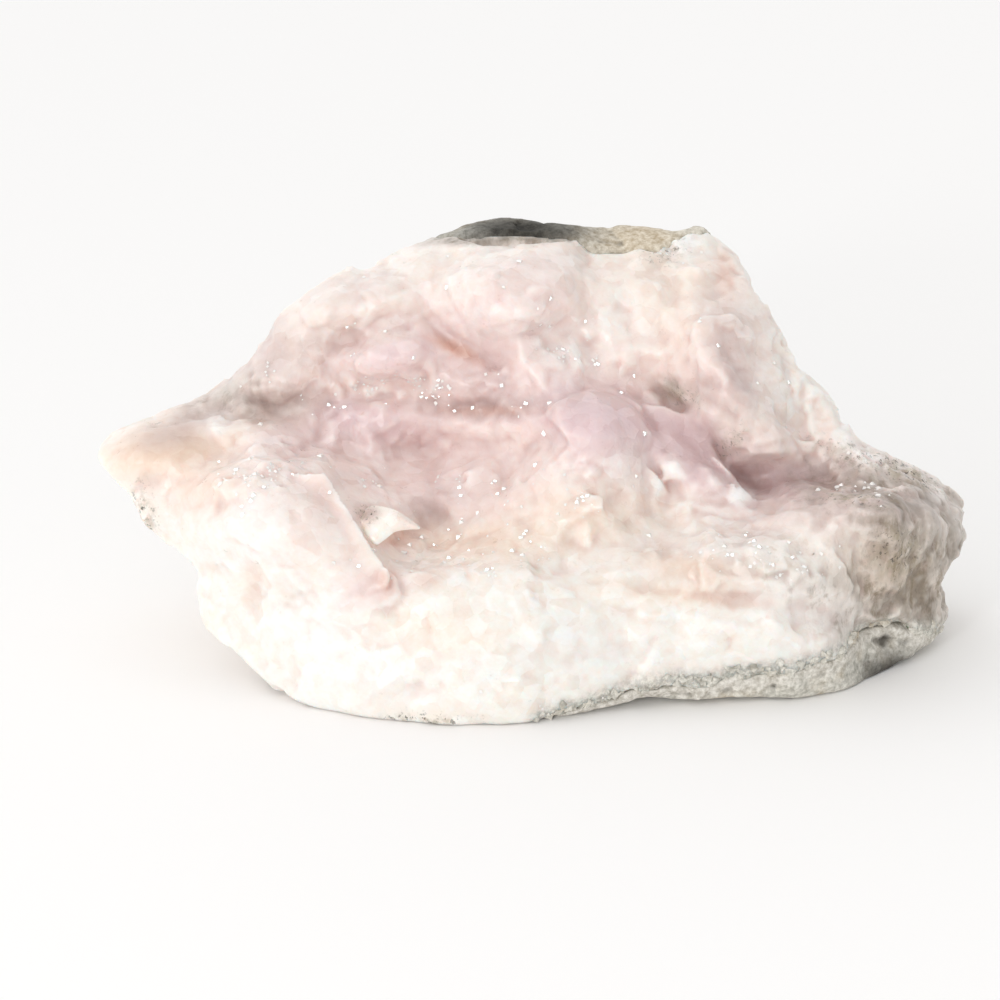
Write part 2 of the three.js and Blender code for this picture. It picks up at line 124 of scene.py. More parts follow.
def addNode(tree, kind, settings=None, **links):
    # one node: its own settings, then each input by name, or _ and number, as a value or another node's socket
    node = tree.nodes.new(kind)
    for name, value in (settings or {}).items():
        setattr(node, name, value)
    for name, value in links.items():
        socket = node.inputs[int(name[1:]) if name[0] == "_" else name.replace("_", " ")]
        if isinstance(value, bpy.types.NodeSocket):
            tree.links.new(value, socket)
        else:
            socket.default_value = value
    return node


def addStudio():
    world = bpy.data.worlds.new("white surroundings")
    scene.world = world
    world.use_nodes = True
    tree = world.node_tree
    add = partial(addNode, tree)
    way = add("ShaderNodeSeparateXYZ", Vector=add("ShaderNodeTexCoord").outputs["Generated"]).outputs
    left, right = studio["leftRight"]
    across = add("ShaderNodeMapRange", Value=way["X"], From_Min=0.0, From_Max=0.9, To_Min=left, To_Max=right)
    front, back = studio["frontBack"]
    along = add("ShaderNodeMapRange", Value=way["Y"], From_Min=-0.8, From_Max=0.8, To_Min=front, To_Max=back)
    strength = add("ShaderNodeMath", dict(operation="MULTIPLY"), _0=across.outputs[0], _1=along.outputs[0])
    tree.links.new(strength.outputs[0], tree.nodes["Background"].inputs["Strength"])
    tree.nodes["Background"].inputs["Color"].default_value = (1, 1, 1, 1)
    light = bpy.data.lights.new("key", "AREA")
    light.size = studio["keySize"]
    light.energy = studio["keyPower"]
    key = newObject("key", light)
    key.location = studio["keyPlace"]
    key.rotation_euler = (Vector(studio["lit"]) - key.location).to_track_quat("-Z", "Y").to_euler()
    scene.view_settings.view_transform = "Standard"


addStudio()
print("camera and studio added")


# Numbers that look random but are the same on every run
def hashed(cells, seed):
    h = cells[:, 0] * 73856093 ^ cells[:, 1] * 19349663 ^ cells[:, 2] * 83492791 ^ seed * 668265263
    h = (h & 0xFFFFFFFF) * 2246822519 & 0xFFFFFFFF
    h = (h ^ (h >> 15)) * 3266489917 & 0xFFFFFFFF
    return ((h ^ (h >> 13)) & 0xFFFFFF) / 0x1000000


def clouds(points, size, seed, octaves=2):
    # smooth noise from -1 to 1, its blotches about size across
    total = np.zeros(len(points))
    reach = 0
    for octave in range(octaves):
        p = points * (2**octave / size) + 17.3 * (octave + 1)
        cell = np.floor(p).astype(np.int64)
        t = p - cell
        t = t * t * (3 - 2 * t)
        layer = np.zeros(len(points))
        for corner in np.ndindex(2, 2, 2):
            weight = np.prod(np.where(corner, t, 1 - t), axis=1)
            layer += weight * hashed(cell + np.array(corner), seed + 31 * octave)
        total += (2 * layer - 1) * 0.5**octave
        reach += 0.5**octave
    return total / reach


def flaked(co, n, size, lean, seed):
    # broken faces: how far in or out each point moves to lie on flat breaks about size across, each leaning its own
    # way; where breaks meet, the deeper one wins
    random = np.random.default_rng(seed)
    order = random.permutation(len(co))
    _, first = np.unique(np.floor(co[order] / (size * mm)).astype(np.int64), axis=0, return_index=True)
    chosen = order[first]
    ways = n[chosen] + lean * random.normal(size=(len(chosen), 3))
    ways /= np.linalg.norm(ways, axis=1)[:, None]
    tree = KDTree(len(chosen))
    for i, spot in enumerate(co[chosen]):
        tree.insert(spot, i)
    tree.balance()
    close = np.array([[found[1] for found in tree.find_n(spot, 3)] for spot in co])
    deepest = np.full(len(co), 3.0)
    for k in range(3):
        way = ways[close[:, k]]
        agree = (n * way).sum(1)
        high = ((co[chosen[close[:, k]]] - co) * way).sum(1) / np.maximum(agree, 0.5) / mm
        deepest = np.minimum(deepest, high * ramp(agree, 0.05, 0.45))
    return np.clip(deepest, -0.28 * size, 0.1 * size)


def plates(x, v, size, seed, tilt=0.16, slope=3.5):
    # a bed of overlapping blunt crystals seen from above, each a leaning flat top with sloping sides: the height of
    # the uppermost, in cell sizes
    flat = np.stack([x / size, v / size, np.zeros(len(x))], 1)
    cell = np.floor(flat).astype(np.int64)
    highest = np.zeros(len(x))
    for step in np.ndindex(3, 3):
        c = cell + np.array([step[0] - 1, step[1] - 1, 0])
        dice = [hashed(c, seed + k) for k in range(6)]
        dx = flat[:, 0] - c[:, 0] - 0.5 - 0.8 * (dice[0] - 0.5)
        dv = flat[:, 1] - c[:, 1] - 0.5 - 0.8 * (dice[1] - 0.5)
        a = 2 * math.pi * dice[2]
        run = dx * np.cos(a) + dv * np.sin(a)
        climb = dv * np.cos(a + 0.21) - dx * np.sin(a + 0.21)
        half = 0.45 + 0.45 * dice[3]
        lean = 2 * math.pi * dice[4]
        top = 0.18 + 0.2 * dice[5] + tilt * (dx * np.cos(lean) + dv * np.sin(lean))
        side = slope * np.minimum(half - np.abs(run), half - np.abs(climb))
        highest = np.maximum(highest, np.minimum(top, side))
    return highest


def near(x, v, patch):
    # distance from the middle of a patch, 1 on its edge
    t = math.radians(patch[4])
    dx, dv = x - patch[0], v - patch[1]
    run = (dx * math.cos(t) + dv * math.sin(t)) / patch[2]
    rise = (dv * math.cos(t) - dx * math.sin(t)) / patch[3]
    return np.hypot(run, rise)


def ramp(values, low, high):
    t = np.clip((values - low) / (high - low), 0, 1)
    return t * t * (3 - 2 * t)


# Mesh arrays
def nodeCopy(node, name):
    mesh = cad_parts[node].data.copy()
    work = bmesh.new()
    work.from_mesh(mesh)
    bmesh.ops.remove_doubles(work, verts=work.verts, dist=1e-6)
    work.to_mesh(mesh)
    work.free()
    mesh.materials.clear()
    mesh.name = name
    return mesh


def withModifier(mesh, kind, **settings):
    # the mesh as one modifier leaves it
    helper = newObject("helper", mesh)
    modifier = helper.modifiers.new("shape", kind)
    for name, value in settings.items():
        setattr(modifier, name, value)
    graph = bpy.context.evaluated_depsgraph_get()
    result = bpy.data.meshes.new_from_object(helper.evaluated_get(graph))
    bpy.data.objects.remove(helper)
    return result


def places(mesh):
    co = np.empty(len(mesh.vertices) * 3)
    mesh.vertices.foreach_get("co", co)
    return co.reshape(-1, 3)


def normals(mesh):
    mesh.update()
    n = np.empty(len(mesh.vertices) * 3)
    mesh.vertex_normals.foreach_get("vector", n)
    return n.reshape(-1, 3)


def setPlaces(mesh, co):
    mesh.vertices.foreach_set("co", co.astype(np.float32).ravel())
    mesh.update()


def neighbours(mesh):
    ends = np.empty(len(mesh.edges) * 2, np.int32)
    mesh.edges.foreach_get("vertices", ends)
    return ends.reshape(-1, 2)


def relaxed(values, ends, rounds, pull=0.5, push=0.0):
    # each value drawn towards the mean of its neighbours; push puts back the shrinkage
    a, b = ends.T
    count = len(values)
    shared = np.maximum(np.bincount(a, minlength=count) + np.bincount(b, minlength=count), 1)
    values = np.array(values, float)
    columns = values.reshape(count, -1)
    for _ in range(rounds):
        for amount in (pull, -push) if push else (pull,):
            for k in range(columns.shape[1]):
                column = columns[:, k]
                total = np.bincount(a, column[b], count) + np.bincount(b, column[a], count)
                columns[:, k] = column + amount * (total / shared - column)
    return columns.reshape(values.shape)


def remeshed(mesh, voxel, rounds, pull, push):
    # the mesh rebuilt from voxels and evened out, with its places and the ends of its edges
    mesh = withModifier(mesh, "REMESH", mode="VOXEL", voxel_size=voxel * mm)
    ends = neighbours(mesh)
    co = relaxed(places(mesh), ends, rounds, pull, push)
    setPlaces(mesh, co)
    return mesh, co, ends


def sunken(co, n, ends, rounds, reach):
    # 0.5 on flat ground, up to 1 in hollows and down to 0 on ridges; more rounds find wider ones, reach deep
    depth = ((relaxed(co, ends, rounds) - co) * n).sum(1) / mm
    return np.clip(0.5 + 0.5 * depth / reach, 0, 1)


def addAttribute(mesh, name, values):
    if name in mesh.attributes:
        mesh.attributes.remove(mesh.attributes[name])
    mesh.attributes.new(name, "FLOAT", "POINT").data.foreach_set("value", values.astype(np.float32))


def treeOf(mesh):
    work = bmesh.new()
    work.from_mesh(mesh)
    tree = BVHTree.FromBMesh(work)
    work.free()
    return tree


def distanceTo(tree, co, reach):
    found = (tree.find_nearest(Vector(p), reach)[3] for p in co)
    return np.array([reach if d is None else d for d in found])


def addPiece(mesh, name, node, material):
    piece = newObject(name, mesh)
    mesh.materials.clear()
    mesh.materials.append(material)
    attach(piece, "root")
    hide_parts(node)
    print(f"{name}: {len(mesh.polygons)} faces")


# Materials
def newMaterial(name):
    # an empty material, and addNode for its tree
    material = bpy.data.materials.new(name)
    material.use_nodes = True
    material.node_tree.nodes.clear()
    return material, partial(addNode, material.node_tree)


def colour(code):
    return (*toLinear(code), 1)


# Calcite crust
crust = dict(
    voxel=0.45,
    roughVoxel=0.8,
    roughRounds=4,
    rounds=6,
    lastRounds=2,
    evening=(0.55, 0.45),  # how hard each round pulls the skin even, and pushes it back out
    wideRounds=150,  # rounds of evening that find how deep a hollow is
    fillRounds=36,  # rounds that soften a filled hollow
    triangles=192000,
    benchGrowth=0.7,  # how far growths stand out on the bench, and how much less on the wall
    wallLoss=0.25,
    wallStart=(58, 64),  # heights on the face between which the bench turns into the wall
    bed=dict(wide=(10.0, 0.15), middle=(5.0, 0.11), small=(2.4, 0.1)),  # crystal size and how boldly they stand out
    broken=dict(wide=(9.0, 0.22, 0.8), small=(3.2, 0.2, 0.8)),  # width of the cleavage breaks, their lean and height
    brokenEnd=(6.0, 0.35, 0.5),
    bandFaces=(0.3, 0.12),  # how far the broken band shows flat faces, and how much more on the right
    bandRight=(20, 40),
    endFaces=0.65,
    endStart=(60, 70),  # where the broken right end begins; it leans with height
    grownFaces=0.26,
    unevenness=0.2,
    lapHeight=0.9,  # of the crust where it laps over the great crystals
    contactReach=2.5,  # how near the rock the crust thins out
    rim=(0.3, 4.5),  # distances from the rock over which grit fades out
    wornDepth=6,
)

# the brow, where the broken front turns into the grown bench: x and height
browLine = [(-82, 48), (-65, 46), (-50, 42), (-38, 37), (-25, 27), (-15, 25), (0, 25), (20, 27), (35, 30)]
browLine += [(55, 34), (85, 36)]


def aboveBrow(x, v):
    return v - np.interp(x, *zip(*browLine))


# A patch is its middle, its half-width along and across, all in face millimetres, and its turn in degrees.

# Growth fronts with a sharp foot: patch and rise
growths = [
    (-46.6, 64.9, 10, 6, 24, 1.1), (-26.4, 67.3, 8, 4.2, 4, 1.3), (-38, 76, 13, 4.5, 16, 0.9),
    (-2, 79, 13, 10, 12, 1.2), (-24, 79, 9, 6, 20, 0.8), (2, 65, 9, 4.5, -12, 0.8), (15, 70, 7, 6, 60, 0.7),
    (34, 66, 14, 9, -58, 0.8), (27, 80, 8, 9, 0, 0.6), (46, 56, 8, 5, -50, 0.8), (13, 55, 11, 6.5, -14, 1.3),
    (9, 44, 14, 7, 4, 0.9), (-4, 51, 6, 5, 40, 0.6), (-29, 54, 10, 4.6, 2, 1.2), (-14, 52.5, 7, 4, -12, 1),
    (-12, 45, 6.5, 4.5, -30, 0.8), (-24, 47, 7, 3.6, 14, 0.8), (-48, 51.5, 6.5, 4, 6, 1.2),
    (-53, 56.5, 5, 3, -24, 0.8), (-44, 46.5, 9, 2.8, 14, 1), (-56, 45, 7, 3.4, 24, 0.7), (-49, 34, 8, 8, 35, 0.8),
    (-59, 33, 6, 4.5, -40, 0.7), (37, 30, 13, 4.2, -8, 1), (18, 34, 10, 4, -10, 0.7), (58, 40, 15, 4.5, -6, 0.8),
    (67, 44, 8, 3, -18, 0.7), (52, 28, 10, 5, -14, 0.7), (30, 15, 19, 5, -3, 0.7), (-8, 14, 16, 8, 4, 0.6),
    (-36, 16, 12, 9, -10, 0.6), (57.4, 51.8, 1.8, 2.6, 8, 1), (59.6, 48.6, 2.6, 1.5, 20, 0.7),
    (64.8, 47.6, 2.4, 1.6, -20, 0.9),
]

# Height on the face where the bench ends and the wall begins
wallFoot = 59

# Knobs in a row along the ledge above the valley
knobs = dict(start=(-36.5, 60.5), end=(-18.5, 61.5), count=7, radius=1.5, rise=0.9)

# Faces that grew smooth: patch
smoothPatches = [
    (13, 55, 10, 5.5, -14), (-66, 50, 12, 5, 14), (30, 51, 12, 5, -44), (-38, 37, 11, 12, -20),
    (-26, 67.5, 7, 3, 4), (-2, 82, 12, 6, 4), (47, 44, 10, 3, 0),
]

# Hollows that later growth has partly filled: patch, lift in millimetres, and share of the hollow's depth filled up
filledHollows = [
    (-12, 69, 12, 7, -20, 0.5, 0), (-9, 57.5, 11, 4, -4, 0.5, 0), (-52, 57.5, 14, 6, 4, 1.2, 1.2),
    (-28, 59, 10, 3.5, 0, 0.3, 0), (36, 54.8, 18, 8, -45, 6.2, 0.3), (42, 21, 30, 6, -8, 1.6, 0),
    (48, 44, 12, 5, -4, 0.5, 0), (-2, 27, 34, 5, 3, 0.2, 0), (22.5, 63, 12, 8, -15, 0, 1.7),
    (-41, 29, 9, 9, -30, 0, 0), (34, 41, 9, 5, -20, -1.2, 0),
]

# Where the crust is worn through to the rock along the crest: patch
rockBand = (-1, 91.8, 15, 3.4, 2)

# Shallow cracks: a line of points, half-width, depth
creases = [
    ([(-19.5, 73.5), (-13.6, 69.2), (-9, 66.4), (-4.6, 67.2), (-1.5, 70)], 1.2, 0.9),
    ([(-14.5, 57.6), (-10, 58.3), (-5.4, 57.5), (-3, 55.4)], 0.8, 0.9),
    ([(-36.5, 59.2), (-27, 59.3), (-19, 58.6)], 1.0, 0.7),
    ([(-60, 57.8), (-52, 57), (-43, 58.6)], 1.2, 0.8),
    ([(22.5, 60), (28, 55.5), (33, 51.5), (38, 46), (43, 42)], 1.3, 0.7),
    ([(18, 24.8), (27, 24.6), (36, 22.6), (50, 21), (62, 17)], 1.0, 0.8),
    ([(0, 29.2), (6, 28.6), (13, 29)], 0.7, 0.7),
    ([(21, 33.5), (28, 31), (36, 27.5), (43, 26.8)], 0.8, 0.8),
    ([(-51.5, 28.5), (-50, 25.5), (-51, 21)], 1.4, 1.2),
    ([(-62, 42), (-57, 39), (-53, 40.5)], 0.8, 0.7),
    ([(52, 42.3), (60, 42.5), (66, 41)], 0.8, 0.8),
    ([(58, 30), (61, 22), (60, 14)], 1.0, 0.8),
]

# The two great crystal faces: a corner of each face's plane and the two beside it, in face millimetres, how far
# across and down it the crust begins to lap over, the outline of the part that shows, and the thickness behind it
greatCrystals = dict(
    greatRhomb=dict(
        corner=(-37.7, 45.8, -8),
        right=(-26.1, 27.3, 1.2),
        left=(-49.3, 41, -10.2),
        lap=(0.2, 0.8),
        outline=[
            (-43.5, 45.4), (-37.4, 45.9), (-33.7, 40.7), (-25.8, 27.8), (-25.5, 25.6), (-37.4, 22.4), (-42.4, 27.7),
            (-45.2, 37),
        ],
        thickness=8,
    ),
    mauveSlab=dict(
        corner=(22.4, 59.2, -29),
        right=(37, 46, -24.6),
        left=(24.6, 51.5, -26.2),
        lap=(0.7, 2),
        outline=[
            (20.5, 58.6), (24.8, 58.4), (28.7, 56.4), (31.1, 54.2), (32.3, 51.6), (33.2, 49.9), (34.8, 47.6),
            (36.6, 45.6), (38.6, 43.4), (39.6, 41.2), (34.1, 39.6), (26.5, 40.8), (22.0, 45.0), (16.5, 49.4),
        ],
        thickness=9,
    ),
)

# Blunt crystals that stand out of the crust: patch, how many, least and most width, least and most height, lean
outcrops = dict(
    valley=((-24, 49, 20, 8, -10), 26, (2, 6), (-0.2, 0.15), 0.08),
    knobRow=((-28, 61.5, 12, 2, 2), 14, (1.6, 3), (0.2, 0.6), 0.3),
    leftLumps=((-57.5, 55.5, 5, 3.5, 20), 9, (2.5, 5), (0.1, 0.5), 0.25),
    leftBench=((-52, 46, 14, 5, 16), 22, (1.6, 5), (-0.2, 0.25), 0.14),
    apron=((18, 43, 18, 6, -6), 34, (1.6, 5), (-0.2, 0.3), 0.16),
    shelf=((45, 30, 16, 5, -8), 40, (1.4, 4), (-0.1, 0.35), 0.22),
    bench=((-6, 35, 20, 4, 0), 30, (1.4, 4), (-0.2, 0.2), 0.15),
    shoulder=((62, 47, 12, 3.5, -16), 28, (1.4, 3), (0.1, 0.6), 0.35),
    pocketSide=((55, 38, 14, 5, -6), 16, (2, 5), (-0.2, 0.15), 0.12),
    wall=((0, 73, 42, 14, 0), 60, (1.6, 6), (-0.25, 0.06), 0.08),
    crest=((30, 86, 8, 6, -60), 20, (1.4, 3.6), (0.0, 0.4), 0.25),
    front=((0, 15, 55, 10, 0), 90, (1.6, 5.5), (-0.25, 0.12), 0.14),
)

# How deep blocks are rooted, how far great faces stand out, the largest chip as a share of a side, how far blocks are
# turned from their patch in radians, and how far they keep from the great crystals
blocks = dict(rooted=3.5, faceProud=0.4, chip=0.4, turning=0.5, clear=1, seed=500)

# Single larger rhombs: x, v, width, turn in degrees, height, lean
namedRhombs = [
    (25.3, 46.2, 3.7, 10, 1.3, (0.1, 0.25)),
    (37.4, 41.3, 4.2, -25, 1.3, (-0.1, 0.3)),
    (33, 43.8, 2.6, 30, 0.8, (0.2, 0.2)),
    (22.4, 42.8, 3.0, 50, 0.8, (0.2, 0.1)),
    (57.6, 52.2, 3.6, 20, 1.4, (0, 0.2)),
    (61, 49, 3.0, 65, 1.2, (0.3, 0)),
    (75.5, 42, 3.2, 0, 0.8, (0.2, 0.4)),
]


def alongPath(x, v, path):
    nearest = np.full(len(x), np.inf)
    for (ax, av), (bx, bv) in zip(path, path[1:]):
        t = np.clip(((x - ax) * (bx - ax) + (v - av) * (bv - av)) / ((bx - ax) ** 2 + (bv - av) ** 2), 0, 1)
        nearest = np.minimum(nearest, np.hypot(x - ax - t * (bx - ax), v - av - t * (bv - av)))
    return nearest


def growthRise(x, v, p):
    # how far growths, knobs and cracks move the crust out or in; their outlines wander a little
    bend = [1.3 * clouds(p, 5.5, 12 + k) + 1.4 * clouds(p, 13, 17 + k) for k in range(2)]
    bx, bv = x + bend[0], v + bend[1]
    rise = np.zeros(len(x))
    for *patch, high in growths:
        d = near(bx, bv, patch)
        # on the wall a growth has its edge below and melts into the wall above; on the bench the other way round
        uphill = (bv - patch[1]) / patch[3] * (1 if patch[1] > wallFoot else -1)
        dome = high * np.sqrt(np.clip(1 - d**3, 0, 1)) * (1 - 0.85 * ramp(uphill, -0.5, 0.9))
        rise = np.maximum(rise, dome)
    for step in range(knobs["count"]):
        t = step / (knobs["count"] - 1)
        at = [a + t * (b - a) for a, b in zip(knobs["start"], knobs["end"])]
        size = knobs["radius"] * (1 + 0.25 * math.sin(5.3 * step))
        knob = (at[0], at[1] + 0.6 * math.sin(2.4 * step), size, size, 0)
        d = near(x + 0.4 * bend[0], v + 0.4 * bend[1], knob)
        rise = np.maximum(rise, knobs["rise"] * np.sqrt(np.clip(1 - d * d, 0, 1)))
    for path, width, depth in creases:
        d = alongPath(x + 0.7 * bend[0], v + 0.7 * bend[1], path) / width
        rise -= depth * np.exp(-d * d) * np.clip(0.6 + 0.5 * bend[0], 0.1, 1.2)
    return rise


def onFace(x, v, shape):
    # a spot's place down and across a great crystal's face, 0 at its top and right edges, and the face's height there
    corner, right, left = (np.array(shape[k], float) for k in ("corner", "right", "left"))
    down, across = right - corner, left - corner
    turn = down[0] * across[1] - down[1] * across[0]
    dx, dv = x - corner[0], v - corner[1]
    s = (dx * across[1] - dv * across[0]) / turn
    t = (dv * down[0] - dx * down[1]) / turn
    return s, t, corner[2] + s * down[2] + t * across[2]


def outside(x, v, outline):
    # distance to a closed outline, negative within it
    ring = [*outline, outline[0]]
    within = np.zeros(len(x), bool)
    for (ax, av), (bx, bv) in zip(ring, ring[1:]):
        if av != bv:
            within ^= ((av > v) != (bv > v)) & (x < ax + (bx - ax) * (v - av) / (bv - av))
    return np.where(within, -1, 1) * alongPath(x, v, ring)


def addPrism(work, tops, deep):
    # a closed block: its top ring and the way down to its bottom ring
    high = [work.verts.new(place) for place in tops]
    low = [work.verts.new(place + deep) for place in tops]
    work.faces.new(high)
    work.faces.new(low[::-1])
    for i in range(len(tops)):
        k = (i + 1) % len(tops)
        work.faces.new((high[k], high[i], low[i], low[k]))


def addBlock(work, tree, x, v, width, turn, proud, lean, chipped=0.0):
    # a rhomb, its corners chipped or not, set on the crust where a look along w meets it
    spot, normal, _, _ = tree.ray_cast(fromFace(x, v, 40), -faceOut)
    if spot is None:
        return
    out = (normal + Vector((lean[0], 0, lean[1]))).normalized()
    side = Vector((math.cos(turn), 0, math.sin(turn)))
    side = (side - out * side.dot(out)).normalized()
    up = out.cross(side)
    a, b = math.cos(bluntCorner), math.sin(bluntCorner)
    tops = []
    ring = ((-1, -1), (1, -1), (1, 1), (-1, 1))
    for corner, (i, k) in enumerate(ring):
        nextI, nextK = ring[(corner + 1) % 4]
        chip = chipped * blocks["chip"] * ((7.3 * x + 3.1 * v + 1.7 * corner) % 1)
        for share in (chip, 1 - chip) if chip else (0,):
            m, n = i + share * (nextI - i), k + share * (nextK - k)
            flat = side * (m + a * n) + up * (b * n)
            tops.append(spot + (flat * (0.5 * width) + out * proud) * mm)
    addPrism(work, tops, -out * (blocks["rooted"] * mm))


def withCrystals(mesh):
    # the crust's mass joined with the blocks that stand out of it
    tree = treeOf(mesh)
    work = bmesh.new()
    work.from_mesh(mesh)
    for shape in greatCrystals.values():
        tops = []
        for x, v in shape["outline"]:
            tops.append(fromFace(x, v, onFace(x, v, shape)[2] + blocks["faceProud"]))
        addPrism(work, tops[::-1], -faceOut * (shape["thickness"] * mm))
    for seed, ((midX, midV, along, across, turned), count, widths, heights, leaning) in enumerate(outcrops.values()):
        random = np.random.default_rng(blocks["seed"] + seed)
        t = math.radians(turned)
        for _ in range(count):
            reach, way = math.sqrt(random.uniform()), random.uniform(0, 2 * math.pi)
            run, rise = along * reach * math.cos(way), across * reach * math.sin(way)
            x = midX + run * math.cos(t) - rise * math.sin(t)
            v = midV + run * math.sin(t) + rise * math.cos(t)
            width, proud = random.uniform(*widths), random.uniform(*heights)
            turn, lean = t + random.normal(0, blocks["turning"]), random.normal(0, leaning, 2)
            spot = np.array([x]), np.array([v])
            if all(outside(*spot, shape["outline"])[0] > blocks["clear"] for shape in greatCrystals.values()):
                addBlock(work, tree, x, v, width, turn, proud, lean, chipped=1)
    for x, v, width, turn, proud, lean in namedRhombs:
        addBlock(work, tree, x, v, width, math.radians(turn), proud, lean)
    bmesh.ops.recalc_face_normals(work, faces=work.faces)
    work.to_mesh(mesh)
    work.free()
    return mesh


def covered(x, v, patches, column=None, soft=0.4):
    # how far each point lies in any of the patches, or the value that the patches have in one column
    share = np.zeros(len(x))
    for patch in patches:
        part = 1 - ramp(near(x, v, patch), 1 - soft, 1 + 0.3 * soft)
        share = share + part * (patch[column] - share) if column else np.maximum(share, part)
    return share


def withinBox(co):
    return np.clip(co, np.array(cadBox[0]), np.array(cadBox[1]))


def buildCrust(rockTree):
    # the crust's skin: hollows filled and blocks added on a coarse skin, and then growths, crystals and breaks on a
    # fine one
    mass = nodeCopy("calcite_mass", "calcite_crust")
    mesh, co, ends = remeshed(mass, crust["roughVoxel"], crust["roughRounds"], *crust["evening"])
    x, v, _ = toFace(co)
    front = ramp(normals(mesh) @ outward, -0.3, 0.2)
    deep = np.clip(((relaxed(co, ends, crust["wideRounds"], 0.6) - co) * outward).sum(1), 0, None)
    raised = covered(x, v, filledHollows, 5) * mm + covered(x, v, filledHollows, 6) * deep
    raised *= ramp(outside(x, v, greatCrystals["mauveSlab"]["outline"]), -2, 0)
    soft = covered(x, v, filledHollows) * front
    co += (relaxed(co, ends, crust["fillRounds"], 0.6) - co) * soft[:, None]
    co += outward * (raised * front)[:, None]
    setPlaces(mesh, co)
    mesh, co, ends = remeshed(withCrystals(mesh), crust["voxel"], crust["rounds"], *crust["evening"])
    n = normals(mesh)
    p = co / mm
    x, v, w = toFace(co)
    facing = n @ outward
    front = ramp(facing, -0.1, 0.35)
    warp = [clouds(p, 9, 3 + k) for k in range(2)]
    bench = ramp(aboveBrow(x, v), -1, 3) * front
    smooth = covered(x, v, smoothPatches) * front
    busy = 0.45 + 0.55 * ramp(clouds(p, 16, 77), -0.3, 0.3)  # small crystals crowd in some places
    rise = (crust["benchGrowth"] - crust["wallLoss"] * ramp(v, *crust["wallStart"])) * growthRise(x, v, p) * front
    for seed, (grain, height) in enumerate(crust["bed"].values(), 21):
        bx, bv = x + 0.25 * grain * warp[0], v + 0.25 * grain * warp[1]
        bed = plates(bx, bv, grain, seed) - 0.22
        calm = 1 - 0.85 * smooth
        rise += height * grain * bed * bench * calm * (busy if grain < 6 else 1)
    # flat breaks: most on the back and the right end, some on the broken band, few on what grew
    band = (1 - bench) * front
    least, more = crust["bandFaces"]
    share = np.maximum(1 - front, band * (1 - 0.8 * smooth) * (least + more * ramp(x, *crust["bandRight"])))
    end = crust["endFaces"] * ramp(x + 0.3 * v, *crust["endStart"])
    share = np.maximum(np.maximum(share, end), crust["grownFaces"] * bench * (1 - 0.7 * smooth))
    some = share > 0.01
    for seed, (width, lean, height) in enumerate(crust["broken"].values(), 31):
        rise[some] += height * share[some] * flaked(co[some], n[some], width, lean, seed)
    some = end > 0.01
    width, lean, height = crust["brokenEnd"]
    rise[some] += height * end[some] * flaked(co[some], n[some], width, lean, 39)
    rise += crust["unevenness"] * clouds(p, 5, 41, 3)
    # the great crystals' faces stay bare and nearly flat, with crust lapping over two of their edges
    for shape in greatCrystals.values():
        d = outside(x + 0.5 * warp[0], v + 0.5 * warp[1], shape["outline"])
        s, t, high = onFace(x, v, shape)
        nearby = (np.abs(w - high) < 3) * (facing > 0)
        bare = nearby * (1 - ramp(d, -0.8, 0.3))
        flat = 0.1 * np.round(2 * clouds(p, 7, 71)) + 0.12 * clouds(p, 3, 73)
        fromRight, fromTop = shape["lap"]
        lap = nearby * np.maximum(ramp(t, fromRight, fromRight + 0.25), ramp(s, fromTop, fromTop + 0.15))
        lap *= ramp(d, -0.5, 0.9) * np.exp(-np.clip(d, 0, None) / 5)
        rise = rise * (1 - bare) + flat * bare + crust["lapHeight"] * lap
    contact = 1 - ramp(distanceTo(rockTree, co, 0.004) / mm, 0.2, crust["contactReach"])
    rise = rise * (1 - 0.6 * contact) + (0.45 + 0.8 * clouds(p, 3.2, 88)) * contact
    bared = 1 - ramp(near(x, v, rockBand), 0.85, 1.05)
    rise -= crust["wornDepth"] * bared * ramp(facing, -0.6, -0.2)
    rest = ramp(p[:, 2], *restHeights)
    setPlaces(mesh, relaxed(co + n * (rise * rest * mm)[:, None], ends, 1, 0.5))
    # once more through voxels, so that no part of the skin lies over another
    mesh, co, _ = remeshed(mesh, crust["voxel"], crust["lastRounds"], *crust["evening"])
    setPlaces(mesh, withinBox(co))
    return mesh


